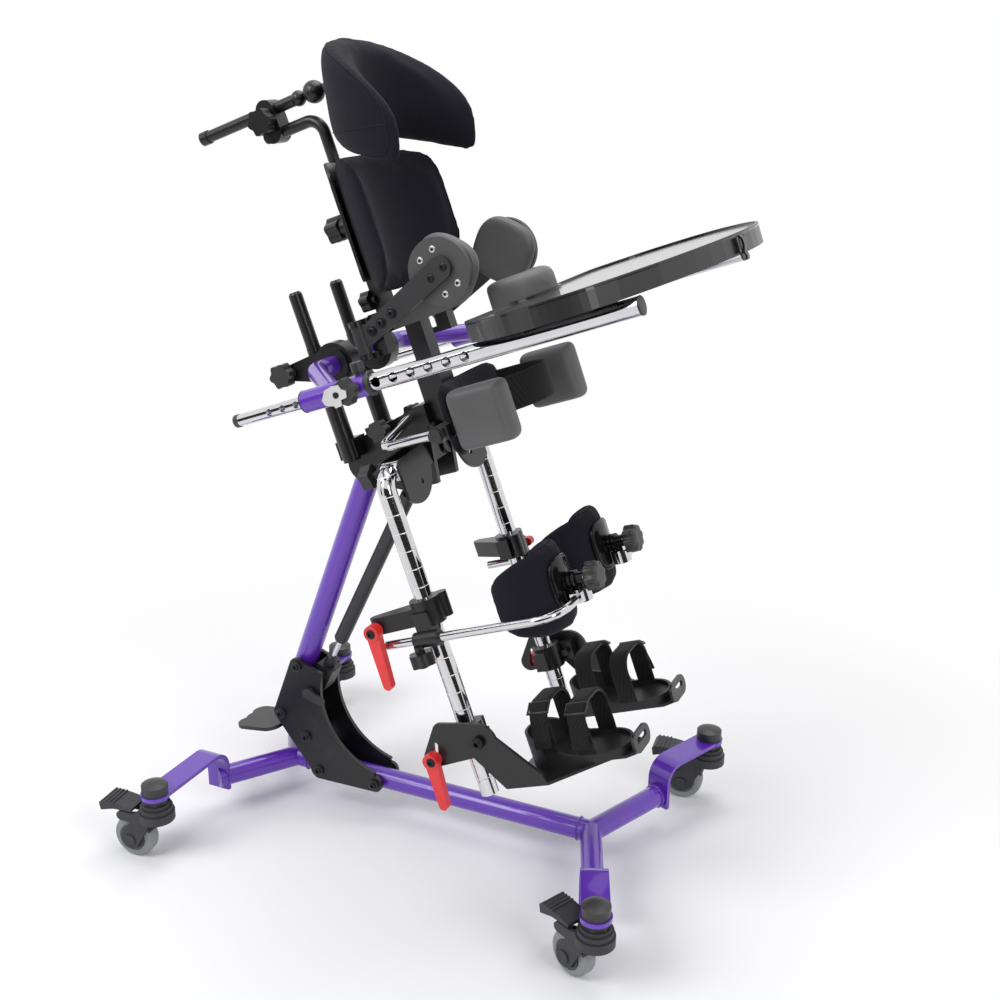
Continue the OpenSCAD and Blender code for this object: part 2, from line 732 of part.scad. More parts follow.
// Knobs and clamps that stay on the body frame
module frame_knobs() color("dimgray") for (s = sides) handed(s) {
  quad_back = leg_u - lug_half - free - quad_t;
  lock_u = sleeve_front - 20;
  translate([lock_u, -tray_half - sleeve_r - 5, tray_v]) rotate([90, 0, 0]) star_knob(knob_r, 14, 5, 5);
  translate([-44, -post_half - 20, bar_v + 6]) rotate([90, 0, 0]) star_knob(knob_r, 16, 6, 4);
  translate([quad_back - 14, -hinge_y, hinge_v]) rotate([0, -90, 0]) star_knob(knob_r, 16, 5, 14);
  translate([hip_clamp_u, -hip_half - 1, hip_bar_v]) rotate([90, 0, 0]) cylinder(h = 6, r = 9);
  y_rod(hip_clamp_u, hip_bar_v, -hip_half - 1, -hip_half + 27, 11);
  translate([56, -cheek_out - 10, 42]) rotate([90, 0, 0]) star_knob(knob_r - 2, 15, 6, 10);
}

// Pelvic cushion with the padded belt that runs round the front
module pelvic_pad() color("black") {
  pad_u = post_u + 34;
  belt_y = 70;
  belt_u = pad_u + 56;
  belt_h = 45;
  translate([pad_u, 0, 34]) rotate([90, 0, 90]) cushion(178, 104, 16, 13, 5, 230);
  for (s = sides) block([pad_u + 22.2, s > 0 ? belt_y - 4 : -belt_y, 24],
                        [belt_u, s > 0 ? belt_y : 4 - belt_y, 24 + belt_h]);
  translate([belt_u, 0, 24]) rotate(-90) rotate_extrude(angle = 180)
    translate([belt_y - 4, 0]) square([4, belt_h]);
}

// Tray

// Sliding tubes with their adjustment holes, and the thin rods behind them
module tray_tubes() color("silver") for (s = sides) handed(s) difference() {
  union() {
    x_rod(-tray_half, tray_v, tube_back, tube_front, tray_tube_d / 2);
    x_rod(-tray_half, tray_v, -43, tube_back + 2, rear_rod_d / 2);
  }
  x_rod(-tray_half, tray_v, tube_back + 12, tube_front - 8, tray_tube_d / 2 - wall_v);
  for (i = [0 : 5]) y_rod(sleeve_front + 16 + i * hole_pitch, tray_v, -tray_half - 30, -tray_half,
        hole_d / 2);
  for (i = [0 : 2]) y_rod(sleeve_back - 12 - i * 0.85 * hole_pitch, tray_v, -tray_half - 30, -tray_half + 30,
                          rear_hole_d / 2);
}

// Outline of the tray, inset by a distance, with round corners and a bowed front
module tray_outline(inset) {
  front_r = 330;
  side_r = 110;
  corner_r = 46;
  bow = [tray_front - front_r, 0];
  side = [bow.x + sqrt(pow(front_r - side_r, 2) - pow(tray_w - side_r, 2)), tray_w - side_r];
  back = [tray_back + corner_r, tray_w - side_r + 24];
  gap = back - side;
  join = atan2(gap.y, gap.x) - acos((side_r - corner_r) / norm(gap));
  turn_in = atan2(side.y, side.x - bow.x);
  half = concat(arc(back, corner_r - inset, 180, join, 10), arc(side, side_r - inset, join, turn_in, 18),
                arc(bow, front_r - inset, turn_in, 0, 10));
  polygon(concat(half, [for (i = [len(half) - 2 : -1 : 0]) [half[i].x, -half[i].y]]));
}

// Tray with a raised rim band, a recessed top, saddles on the tubes and a lipped front latch
module tray_panel() color("black") {
  top = panel_v + tray_h;
  lip = 3;
  floor_v = top - lip - tray_wall;
  difference() {
    union() {
      difference() {
        translate([0, 0, panel_v]) linear_extrude(tray_h) tray_outline(0);
        translate([0, 0, top - lip]) linear_extrude(lip + 1) tray_outline(tray_wall);
        translate([0, 0, panel_v - 1]) linear_extrude(floor_v - panel_v + 1) tray_outline(tray_wall);
      }
      translate([cutout_u, 0, panel_v]) intersection() {
        cylinder(h = tray_h, r = cutout_r + tray_wall);
        translate([tray_back - cutout_u, -tray_w, 0]) cube([tray_w, 2 * tray_w, tray_h]);
      }
      for (s = sides, u = [tray_back + 62, tube_front - 40])
        block([u - 14, s * tray_half - 12, tray_v + tray_tube_d / 2],
              [u + 14, s * tray_half + 12, floor_v + 1]);
    }
    translate([cutout_u, 0, panel_v - 2]) cylinder(h = tray_h + 4, r = cutout_r);
  }
}

// Curved chest pad that lines the cut-out
module chest_pad() color("dimgray")
  translate([cutout_u, 0, panel_v + 27]) rotate([90, 0, -90]) translate([0, 0, -51])
    cushion(160, 58, 16, 17.7, 6, 51);

// Back and head

// Square post, cross beam with the lateral hinges, and the upright behind the back
module back_frame() color("black") {
  w = back_post_w / 2;
  lug = 8;
  block([post_u - w, -w, 30], [post_u + w, w, beam_v]);
  block([post_u - 16, -88, beam_v - 14], [post_u + 16, 88, beam_v + 14]);
  block([shell_u - 16, -15, beam_v - 2], [post_u, 15, beam_v + 14]);
  block([shell_u - 16, -15, beam_v], [shell_u - free, 15, 330]);
  for (s = sides) handed(s) {
    for (v = [arm_v - 18 - lug - free, arm_v + 18 + free]) {
      translate([arm_u, -lateral_half - 3, v]) cylinder(h = lug, r = 10);
      block([arm_u - 2, -lateral_half + free, v], [post_u - 8, -78, v + lug]);
    }
    translate([arm_u, -lateral_half - 3, arm_v - 18 - lug]) cylinder(h = 2 * lug + 36, r = 5);
    block([post_u - 16, -lateral_half + 6, arm_v - 18 - lug - free],
          [post_u + 4, -78, arm_v + 18 + lug + free]);
  }
  x_rod(0, 316, shell_u - 34, shell_u - 15, 13);
  translate([shell_u - 32, 0, 316]) rotate([0, -90, 0]) star_knob(knob_r + 1, 20, 5, 4);
  translate([shell_u - 14, -18, 212]) rotate([0, -90, 0]) star_knob(knob_r - 3, 14, 5, 6);
}

// Curved shell behind the pad, the bent head post and its clamp
module back_support() color("black") {
  low = back_low + 14;
  high = back_low + back_h - 14;
  round_c = 30;
  difference() {
    translate([back_c, 0, low]) rotate(145) rotate_extrude(angle = 70)
      translate([shell_r, 0]) square([shell_t, high - low]);
    for (y = sides, v = [low, high]) cross_plate(0, back_c) difference() {
      translate([y * 96 - 50, v - 50]) square(100);
      translate([y * (96 - round_c), v == low ? low + round_c : high - round_c]) circle(round_c);
      translate([y > 0 ? -100 : round_c - 96, v - 60]) square([196 - round_c, 120]);
      translate([-200, v == low ? low + round_c : high - round_c - 200]) square([400, 200]);
    }
  }
  difference() {
    union() {
      post = shell_u - head_d / 2 - 4;
      bent_rod([[post, 0, 336], [post, 0, head_v - 32], [4, 0, head_v - 32]], head_d / 2, 22);
      block([post - 11, -13, 338], [shell_u + 1, 13, 372]);
      plate(-13, 13) link([23, head_v - 29], [23, head_v + 0.5], 15, 14);
      translate([23, -19, head_v - 14]) rotate([90, 0, 0]) star_knob(knob_r + 1, 16, 6, 8);
    }
    x_rod(0, head_v, -10, 60, head_d / 2 + slip);
  }
}

// Back cushion
module back_pad() color("midnightblue")
  translate([back_c - back_r, 0, back_low + back_h / 2]) rotate([90, 0, 90])
    cushion(back_w, back_h, 13, 13.4, 5, back_r);

// Straight head bar with an end cap, small ball and large ball
module head_bar() color("black") {
  x_rod(0, head_v, -94, ball_u - 20, head_d / 2);
  x_rod(0, head_v, -98, -86, head_d / 2 + 1.5);
  translate([ball_u - 26, 0, head_v]) sphere(r = 10.5);
  translate([ball_u, 0, head_v]) sphere(r = ball_r);
}

// Winged head cushion with the short neck that the ball carries
module head_pad() color("midnightblue") {
  neck = ball_u + ball_r + free;
  translate([head_back_u + 13, 0, head_v - 11]) rotate([0, 10, 0]) rotate([90, 0, 90])
    cushion(372, 124, 17, 18, 3.4, 112, 86, 0.22);
  x_rod(0, head_v, neck, head_back_u + 6, 6);
}

// Lateral supports

// Flat arm with its hinge knuckle and the round pad plate
module lateral_arm(side) color("black") handed(side) {
  y0 = -lateral_half - 6;
  difference() {
    union() {
      translate([arm_u, -lateral_half - 3, arm_v - 18]) cylinder(h = 36, r = 9);
      plate(y0, y0 + 6) link([arm_u + 2, arm_v], [lat_u + 6, lat_v + 4], 13, 15);
      plate(y0 + 6, y0 + 14) translate([lat_u, lat_v]) circle(lateral_d / 2);
    }
    translate([arm_u, -lateral_half - 3, 0]) cylinder(h = 400, r = 5 + run);
    for (k = [0.28, 0.42]) y_rod(arm_u + k * (lat_u - arm_u), arm_v + k * (lat_v - arm_v), -200, 0, 3.2);
  }
}

// Rounded lateral cushion on the inner face of its plate
module lateral_pad(side) color("dimgray") handed(side)
  translate([lat_u, -lateral_half + 8 + free + 8, lat_v]) rotate([90, 0, 180]) rotate(40)
    cushion(lateral_d, lateral_d, 14, 8, 3, 0);

// Square hip cushion with its slotted width bar
module hip_pad(side) color("dimgray") handed(side) {
  translate([hip_u, -hip_half + hip_pad_t / 2, hip_v]) rotate([90, 0, 180])
    cushion(hip_size, hip_size, hip_pad_t / 2 + 3, hip_pad_t / 2, 7, 0);
  block([hip_clamp_u + 11 + free, -hip_half + 2, hip_bar_v - 9],
          [hip_clamp_u + 16, -hip_half + 34, hip_bar_v + 9]);
  block([hip_clamp_u + 14, -hip_half + 14, hip_bar_v - 7],
          [hip_u - hip_size / 2 + 4, -hip_half + 26, hip_bar_v + 7]);
}

// Legs

// Chrome leg tube, bent in at the top to its hinge lug, with a plug at the foot
module leg_tube(side) color("silver") handed(side) difference() {
  union() {
    bent_rod([[leg_u, -leg_half, -leg_low], [leg_u, -leg_half, hinge_v],
          [leg_u, -hinge_y - 4, hinge_v]], leg_r, 22);
    x_rod(-hinge_y, hinge_v, leg_u - lug_half, leg_u + lug_half, lug_r);
  }
  x_rod(-hinge_y, hinge_v, leg_u - 60, leg_u + 60, hinge_pin + run);
  translate([leg_u, -leg_half, -leg_low + 6]) cylinder(h = leg_low - 60, r = leg_r - wall_v);
}

// Split clamp on a leg tube, made by difference with the tube's bore
module leg_clamp(v) {
  translate([leg_u, -leg_half, -v - clamp_h / 2]) cylinder(h = clamp_h, r = clamp_r);
  block([leg_u - 10, -leg_half + clamp_r - 5, -v - 14], [leg_u + 10, -leg_half + clamp_r + 9, -v + 14]);
}

// Knee clamp: leg clamp, cross boss for the rod and the arm that carries the lever
module knee_clamp(side) color("black") handed(side) difference() {
  lever_u = leg_u - 68;
  union() {
    leg_clamp(knee_v);
    block([leg_u - 12, -boss_y, -boss_v], [leg_u + 12, -leg_half - 4, -knee_v + 4]);
    x_rod(-boss_y, -boss_v, leg_u - 17, leg_u + 21, boss_r);
    translate([0, 0, -knee_v - 14]) linear_extrude(24)
      link([leg_u, -leg_half], [lever_u, -lever_y + 8], clamp_r - 2, 8);
    translate([leg_u + 16, -leg_half + 16, -knee_v - 16]) cylinder(h = 34, r = 9);
    translate([leg_u - 13, -boss_y - 6, -boss_v - boss_r - 4]) mirror([0, 0, 1]) star_knob(knob_r, 18, 6, 9);
  }
  translate([leg_u, -leg_half, -knee_v - 60]) cylinder(h = 120, r = leg_r + slip);
  x_rod(-boss_y, -boss_v, 0, 400, knee_rod_d / 2 + run);
}

// Red clamping lever beside the knee
module knee_lever(side) color("red") handed(side)
  translate([leg_u - 68, -lever_y - free, -knee_v - 6]) rotate([0, lever_rest(side), 0]) clamp_lever(76);

// Chrome rod that reaches forward and turns in behind the knee pad
module knee_rod(side) color("silver") handed(side) {
  in_y = -knee_half - 17;
  bent_rod([[30, -boss_y, -boss_v], [knee_pivot_u, -boss_y, -boss_v], [knee_pivot_u, in_y, -boss_v]],
           knee_rod_d / 2, 36);
  translate([knee_pivot_u, -knee_half, -boss_v - 9]) difference() {
    union() {
      cylinder(h = 18, r = 13);
      block([-8, -20, 2], [8, -8, 16]);
    }
    translate([0, 0, -1]) cylinder(h = 20, r = 5 + run);
  }
}

// Pad carrier: pivot pin, ribbed barrel, curved shell and star knob
module knee_cup(side) color("black") handed(side) {
  v = -boss_v + 21;
  shell = knee_axis_u;
  rib = shell + knee_r + 15.3;
  translate([knee_pivot_u, -knee_half, -boss_v - 9]) cylinder(h = 26, r = 5);
  x_rod(-knee_half, v, shell + knee_r + 13, knee_pivot_u + 16, 8.4);
  for (i = [0 : 2]) x_rod(-knee_half, v, rib + 6.2 * i, rib + 6.2 * i + 4.4, 11);
  translate([knee_pivot_u + 14.5, -knee_half, v]) rotate([0, 90, 0]) star_knob(knob_r + 3, 20, 6, 3);
  translate([shell, -knee_half, v - 32]) rotate(-26) rotate_extrude(angle = 52)
    translate([knee_r + 11.5, 0]) square([4, 64]);
}

// Cupped knee cushion
module knee_pad(side) color("midnightblue") handed(side)
  translate([knee_axis_u, -knee_half, -boss_v + 17]) rotate([90, 0, -90]) translate([0, 0, -knee_r])
    cushion(3.75 * knee_r, 118, 15, 11, 4.4, knee_r, 0, 0.36);

// Foot clamp on the leg tube, with the bolt boss beside it
module foot_clamp(side) color("black") handed(side) difference() {
  union() {
    leg_clamp(foot_v);
    block([leg_u, -foot_y + free, -foot_v - 13], [foot_bolt.x + 10, -leg_half - 8, -foot_v + 13]);
    y_rod(foot_bolt.x, foot_bolt.y, -foot_y - side_t - 4, -leg_half, 5);
  }
  translate([leg_u, -leg_half, -foot_v - 60]) cylinder(h = 120, r = leg_r + slip);
}

// Side outline of the foot plate, with a lobe for the lock and a tail to the sole
module foot_outline() {
  link([leg_u - 26, -foot_v + 22], foot_bolt, 11, 26);
  link([leg_u - 26, -foot_v + 22], foot_lock, 11, 14);
  link(foot_lock, foot_bolt, 14, 20);
  polygon([foot_bolt + [6, 25], foot_bolt + [-24, -10], [foot_back - 10, -sole_v - sole_t],
           [foot_back + 54, -sole_v - sole_t], [foot_back + 50, -sole_v + 10]]);
}

// Bent side plate and sole plate under the foot
module foot_plate(side) color("black") handed(side) difference() {
  tip = foot_back + foot_len + 4;
  tab = tip + 8;
  union() {
    plate(-foot_y - side_t, -foot_y) foot_outline();
    cross_plate(tab - sole_t, tab)
      link([-foot_half - 12, -sole_v + 10], [-foot_half + 16, -sole_v + 10], 14, 14);
    translate([0, 0, -sole_v - sole_t]) linear_extrude(sole_t) {
      polygon([[foot_back - 8, -foot_y - side_t], [foot_back + 54, -foot_y - side_t],
            [tip - 30, -foot_half - 26],
               [tip - 30, -foot_half + 30], [foot_back + 8, -foot_half + 34], [foot_back - 8, -foot_half]]);
      polygon([[tip - 32, -foot_half - 26], [tip - 10, -foot_half - 26], [tab, -foot_half - 12],
               [tab, -foot_half + 16], [tip - 10, -foot_half + 30], [tip - 32, -foot_half + 30]]);
    }
  }
  y_rod(foot_bolt.x, foot_bolt.y, -foot_y - 60, 0, 5 + run);
  cross_plate(tab - 20, tab + 20)
    link([-foot_half - 11, -sole_v + 12], [-foot_half + 15, -sole_v + 12], 4, 4);
  plate(-foot_y - 60, 0) link(foot_lock + [10, 18], foot_lock + [4, -3], 3.5, 3.5);
}

// Red clamping lever at the foot plate
module foot_lever(side) color("red") handed(side)
  translate([foot_lock.x + 2, -foot_y - side_t - free, foot_lock.y])
    rotate([0, lever_rest(side), 0]) clamp_lever(66);

// Outline of the foot tray in plan
module foot_outline_plan(inset) {
  link([foot_back + 42, -foot_half], [foot_back + foot_len - 42, -foot_half], 42 - inset, 40 - inset);
}

// Band of webbing arched over the foot, let into the tray's side walls
module foot_strap(u, high) {
  low = -sole_v + 10;
  half = 39.5;
  cross_plate(u - 12.5, u + 12.5) difference() {
    translate([-foot_half - half, low]) round_rect([0, -30], [2 * half, high], 26);
    translate([-foot_half - half + 3, low]) round_rect([0, -30], [2 * half - 6, high - 3], 23);
    translate([-foot_half - half - 5, low - 40]) square([2 * half + 10, 40]);
  }
}

// Moulded foot tray with a heel cup, and its two straps
module foot_tray(side) color("black") handed(side) {
  low = -sole_v;
  difference() {
    translate([0, 0, low]) linear_extrude(46) foot_outline_plan(0);
    translate([0, 0, low + 6]) linear_extrude(60) foot_outline_plan(4);
    plate(-400, 0) polygon([[foot_back - 10, low + 47], [foot_back + 10, low + 46],
          [foot_back + 70, low + 15],
                            [foot_back + 180, low + 9], [foot_back + 180, low + 90],
                                  [foot_back - 10, low + 90]]);
  }
  foot_strap(foot_back + 44, 78);
  foot_strap(foot_back + 98, 70);
}

base_spine();
cross_tubes();
base_fasteners();
mast_plates();
mast_tube();
caster_fork(0);  // caster_fork_rr
caster_fork(1);  // caster_fork_rl
caster_fork(2);  // caster_fork_fr
caster_fork(3);  // caster_fork_fl
caster_wheel(0);  // caster_wheel_rr
caster_wheel(1);  // caster_wheel_rl
caster_wheel(2);  // caster_wheel_fr
caster_wheel(3);  // caster_wheel_fl
caster_brake(0);  // caster_brake_rr
caster_brake(1);  // caster_brake_rl
caster_brake(2);  // caster_brake_fr
caster_brake(3);  // caster_brake_fl
gas_rod();
gas_cylinder();
release_pedal();
tilted() hip_hub();
tilted() push_frame();
tilted() rear_posts();
tilted() hip_bars();
tilted() frame_knobs();
tilted() pelvic_pad();
tilted() tray_tubes();
tilted() tray_panel();
tilted() chest_pad();
tilted() back_frame();
tilted() back_support();
tilted() back_pad();
tilted() head_bar();
tilted() head_pad();
tilted() lateral_arm(-1);  // lateral_arm_right
tilted() lateral_arm(1);  // lateral_arm_left
tilted() lateral_pad(-1);  // lateral_pad_right
tilted() lateral_pad(1);  // lateral_pad_left
tilted() hip_pad(-1);  // hip_pad_right
tilted() hip_pad(1);  // hip_pad_left
tilted() leg_tube(-1);  // leg_tube_right
tilted() leg_tube(1);  // leg_tube_left
tilted() knee_clamp(-1);  // knee_clamp_right
tilted() knee_clamp(1);  // knee_clamp_left
tilted() knee_lever(-1);  // knee_lever_right
tilted() knee_lever(1);  // knee_lever_left
tilted() knee_rod(-1);  // knee_rod_right
tilted() knee_rod(1);  // knee_rod_left
tilted() knee_cup(-1);  // knee_cup_right
tilted() knee_cup(1);  // knee_cup_left
tilted() knee_pad(-1);  // knee_pad_right
tilted() knee_pad(1);  // knee_pad_left
tilted() foot_clamp(-1);  // foot_clamp_right
tilted() foot_clamp(1);  // foot_clamp_left
tilted() foot_plate(-1);  // foot_plate_right
tilted() foot_plate(1);  // foot_plate_left
tilted() foot_lever(-1);  // foot_lever_right
tilted() foot_lever(1);  // foot_lever_left
tilted() foot_tray(-1);  // foot_tray_right
tilted() foot_tray(1);  // foot_tray_left
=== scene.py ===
"""Looks of a child's tilting standing frame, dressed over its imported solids."""
import json
import math

import bpy
import numpy as np
from mathutils import Matrix, Vector
from mathutils.bvhtree import BVHTree


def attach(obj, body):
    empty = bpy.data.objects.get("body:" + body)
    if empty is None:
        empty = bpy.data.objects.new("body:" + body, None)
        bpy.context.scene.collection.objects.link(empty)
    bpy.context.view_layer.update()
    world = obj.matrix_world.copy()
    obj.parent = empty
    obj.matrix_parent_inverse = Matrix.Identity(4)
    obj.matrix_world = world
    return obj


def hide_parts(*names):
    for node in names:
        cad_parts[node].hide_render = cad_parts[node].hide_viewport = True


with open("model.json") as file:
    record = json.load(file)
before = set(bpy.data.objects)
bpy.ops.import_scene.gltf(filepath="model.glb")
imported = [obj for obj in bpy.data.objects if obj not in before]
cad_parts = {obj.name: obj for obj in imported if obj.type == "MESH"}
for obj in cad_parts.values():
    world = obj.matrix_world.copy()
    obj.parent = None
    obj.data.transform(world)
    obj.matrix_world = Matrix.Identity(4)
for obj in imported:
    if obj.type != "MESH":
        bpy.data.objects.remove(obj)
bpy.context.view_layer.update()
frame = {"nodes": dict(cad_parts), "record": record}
nodes = frame["nodes"]
joints = {j["name"]: j for j in frame["record"]["behaviour"]["joints"]}


# Painted tubes: spine, swept cross tubes with caster straps, mast and push frame.
# Welded steel tube in a glossy purple powder paint that shows a faint orange peel
# and a few softer, handled patches.
class Shade:
    """One value in a finish's node tree. Arithmetic on it adds Math nodes."""

    def __init__(self, tree, socket):
        self.tree, self.socket = tree, socket

    def node(self, kind, settings, sockets, out=0):
        made = self.tree.nodes.new(kind)
        for key, value in settings.items():
            setattr(made, key, value)
        for key, value in sockets.items():
            if isinstance(value, Shade):
                self.tree.links.new(value.socket, made.inputs[key])
            else:
                made.inputs[key].default_value = value
        return Shade(self.tree, made.outputs[out])

    def math(self, operation, a, b):
        return self.node("ShaderNodeMath", {"operation": operation}, {0: a, 1: b})

    def __add__(self, b):
        return self.math("ADD", self, b)

    def __radd__(self, b):
        return self.math("ADD", b, self)

    def __sub__(self, b):
        return self.math("SUBTRACT", self, b)

    def __rsub__(self, b):
        return self.math("SUBTRACT", b, self)

    def __mul__(self, b):
        return self.math("MULTIPLY", self, b)

    def __rmul__(self, b):
        return self.math("MULTIPLY", b, self)

    def __pow__(self, b):
        return self.math("POWER", self, b)

    def sine(self):
        return self.math("SINE", self, 0.0)

    def size(self):
        return self.math("ABSOLUTE", self, 0.0)

    def most(self, b):
        return self.math("MAXIMUM", self, b)

    def noise(self, scale, detail):
        return self.node("ShaderNodeTexNoise", {}, {"Vector": self, "Scale": scale, "Detail": detail})

    def ramp(self, low, high):
        return self.node("ShaderNodeMapRange", {"interpolation_type": "SMOOTHSTEP"},
                         {"Value": self, "From Min": low, "From Max": high})

    def tint(self, dark, light):
        return self.node("ShaderNodeMix", {"data_type": "RGBA"}, {0: self, 6: dark, 7: light}, out=2)

    def bump(self, strength, depth):
        return self.node("ShaderNodeBump", {}, {"Height": self, "Strength": strength, "Distance": depth})

    def along(self, origin, axis):
        from_origin = self.node("ShaderNodeVectorMath", {"operation": "SUBTRACT"}, {0: self, 1: origin})
        return from_origin.node("ShaderNodeVectorMath", {"operation": "DOT_PRODUCT"},
                                {0: from_origin, 1: axis}, out=1)


def start_finish(name, fixed):
    made = bpy.data.materials.new(name)
    made.use_nodes = True
    for key, value in fixed.items():
        made.node_tree.nodes["Principled BSDF"].inputs[key].default_value = value
    return made, Shade(made.node_tree, None).node("ShaderNodeTexCoord", {}, {}, out="Object")


def close_finish(made, varying):
    shader = made.node_tree.nodes["Principled BSDF"]
    for key, value in varying.items():
        made.node_tree.links.new(value.socket, shader.inputs[key])


def dress(material, *names):
    for name in names:
        nodes[name].data.materials.clear()
        nodes[name].data.materials.append(material)


purple_paint, at = start_finish("purple_paint", {"Coat Weight": 0.7, "Coat Roughness": 0.07, "IOR": 1.5})
cloud = at.noise(11.0, 4.0)
peel = at.noise(700.0, 1.0)
close_finish(purple_paint, {
    "Base Color": cloud.tint((0.088, 0.015, 0.36, 1), (0.125, 0.025, 0.47, 1)),
    "Roughness": 0.24 + 0.12 * at.noise(45.0, 3.0),
    "Normal": peel.bump(0.06, 0.0004)})
dress(purple_paint, "base_spine", "cross_tubes", "mast_tube", "push_frame")


def mesh_piece(name, points, faces, material, body, smooth=True):
    """A mesh in the row frame, in metres, that moves with a body."""
    made = bpy.data.meshes.new(name)
    made.from_pydata([tuple(p) for p in points], [], faces)
    made.update()
    made.materials.append(material)
    made.polygons.foreach_set("use_smooth", [smooth] * len(made.polygons))
    piece = bpy.data.objects.new(name, made)
    bpy.context.collection.objects.link(piece)
    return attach(piece, body)


def skin(rows, around, closed):
    """Faces over rows of points, each row a ring. The ends are capped unless the rows close up."""
    faces = []
    for i in range(rows if closed else rows - 1):
        low, high = i * around, (i + 1) % rows * around
        faces += [(low + k, low + (k + 1) % around, high + (k + 1) % around, high + k)
                  for k in range(around)]
    if not closed:
        faces += [tuple(range(around))[::-1], tuple((rows - 1) * around + k for k in range(around))]
    return faces


def sweep(path, across, profile, closed=False):
    """Points and faces of an outline carried along a path. Across gives the outline's first axis."""
    path, across = np.asarray(path, float), np.asarray(across, float)
    ahead = np.roll(path, -1, 0) - np.roll(path, 1, 0)
    if not closed:
        ahead[0], ahead[-1] = path[1] - path[0], path[-1] - path[-2]
    ahead /= np.linalg.norm(ahead, axis=1)[:, None]
    across = across - ahead * np.sum(across * ahead, axis=1)[:, None]
    across /= np.linalg.norm(across, axis=1)[:, None]
    up = np.cross(ahead, across)
    points = [p + a * c + b * u for p, c, u in zip(path, across, up) for a, b in profile]
    return points, skin(len(path), len(profile), closed)


def round_profile(r, sides):
    turns = [2 * math.pi * k / sides for k in range(sides)]
    return [(r * math.cos(t), r * math.sin(t)) for t in turns]


# Weld beads at the tube joints: a wavy fillet of weld metal under the paint,
# round each cross tube where it meets its strap and round both ends of the spine.
def directions(axis, steps):
    """The unit axis, the angles of some even steps round it, and their outward directions."""
    axis = Vector(axis).normalized()
    side = axis.orthogonal().normalized()
    other = axis.cross(side)
    turns = [2 * math.pi * k / steps for k in range(steps)]
    return axis, turns, [math.cos(t) * side + math.sin(t) * other for t in turns]


def weld_bead(name, centre, axis, radius, bead, body, seed):
    steps, waviness, lag = 96, 0.00025, 7
    ripple = np.random.default_rng(seed).normal(0, waviness, steps).tolist()
    axis, _, outward = directions(axis, steps)
    path = [Vector(centre) + (radius + ripple[k]) * out + axis * ripple[k - lag]
            for k, out in enumerate(outward)]
    points, faces = sweep(path, [axis] * steps, round_profile(bead, 8), closed=True)
    mesh_piece(name, points, faces, purple_paint, body)


SPINE_Z, STRAP_INSET = 0.056, 0.0125
STRAP_BEAD, SPINE_BEAD = (0.0165, 0.0018), (0.0163, 0.0016)
rear, front = (-0.262, 0, SPINE_Z), (0.240, 0, SPINE_Z)
for k, (root, tip) in enumerate([(rear, (-0.337, -0.110, SPINE_Z)), (rear, (-0.337, 0.110, SPINE_Z)),
                                 (front, (0.298, -0.140, SPINE_Z)), (front, (0.298, 0.140, SPINE_Z))]):
    way = Vector(tip) - Vector(root)
    centre = Vector(tip) - way.normalized() * STRAP_INSET
    weld_bead(f"strap_weld_{k}", centre, way, *STRAP_BEAD, "base", k)
weld_bead("spine_weld_back", (-0.238, 0, SPINE_Z), (1, 0, 0), *SPINE_BEAD, "base", 11)
weld_bead("spine_weld_front", (0.222, 0, SPINE_Z), (1, 0, 0), *SPINE_BEAD, "base", 12)


# Mast side plates, posts, hub, clamps and foot plates: laser-cut steel and castings
# in a satin black powder coat, with a fine pebbled skin and slightly rubbed patches.
black_metal, at = start_finish("black_metal", {"IOR": 1.45, "Coat Weight": 0.1, "Coat Roughness": 0.2})
rubbed = at.noise(23.0, 5.0).ramp(0.56, 0.74)
pebble = at.noise(1300.0, 2.0)
close_finish(black_metal, {
    "Base Color": rubbed.tint((0.0085, 0.0085, 0.009, 1), (0.017, 0.017, 0.018, 1)),
    "Roughness": 0.27 + 0.12 * rubbed + 0.08 * pebble,
    "Normal": pebble.bump(0.10, 0.0003)})
dress(black_metal, "mast_plates", "hip_hub", "rear_posts", "back_frame", "back_support", "head_bar")


# Casters: glass-filled nylon forks and brake pedals with a fine moulded grain,
# and grey rubber tyres on darker hubs, told apart by their distance from the axle.
caster_plastic, at = start_finish("caster_plastic", {"IOR": 1.46})
grain = at.noise(950.0, 2.0)
close_finish(caster_plastic, {
    "Base Color": at.noise(60.0, 4.0).tint((0.020, 0.020, 0.023, 1), (0.042, 0.042, 0.047, 1)),
    "Roughness": 0.42 + 0.18 * grain,
    "Normal": grain.bump(0.18, 0.0004)})

for corner in ("rr", "rl", "fr", "fl"):
    roll = joints["roll_" + corner]
    tyre, at = start_finish("tyre_" + corner, {"IOR": 1.48})
    axle = at.along(roll["pos_m"], roll["axis"])
    spread = at.node("ShaderNodeVectorMath", {"operation": "DISTANCE"}, {0: at, 1: roll["pos_m"]}, out=1)
    radius = (spread * spread - axle * axle) ** 0.5
    tread = radius.ramp(0.0196, 0.0204)
    dust = at.noise(120.0, 4.0)
    rubber = dust.tint((0.20, 0.215, 0.225, 1), (0.27, 0.285, 0.295, 1))
    hub = dust.tint((0.055, 0.055, 0.06, 1), (0.085, 0.085, 0.09, 1))
    close_finish(tyre, {
        "Base Color": tread.tint(hub, rubber),
        "Roughness": 0.38 + 0.24 * tread + 0.1 * dust,
        "Normal": at.noise(800.0, 2.0).bump(0.12, 0.0004)})
    dress(tyre, "caster_wheel_" + corner)
    dress(caster_plastic, "caster_fork_" + corner, "caster_brake_" + corner)


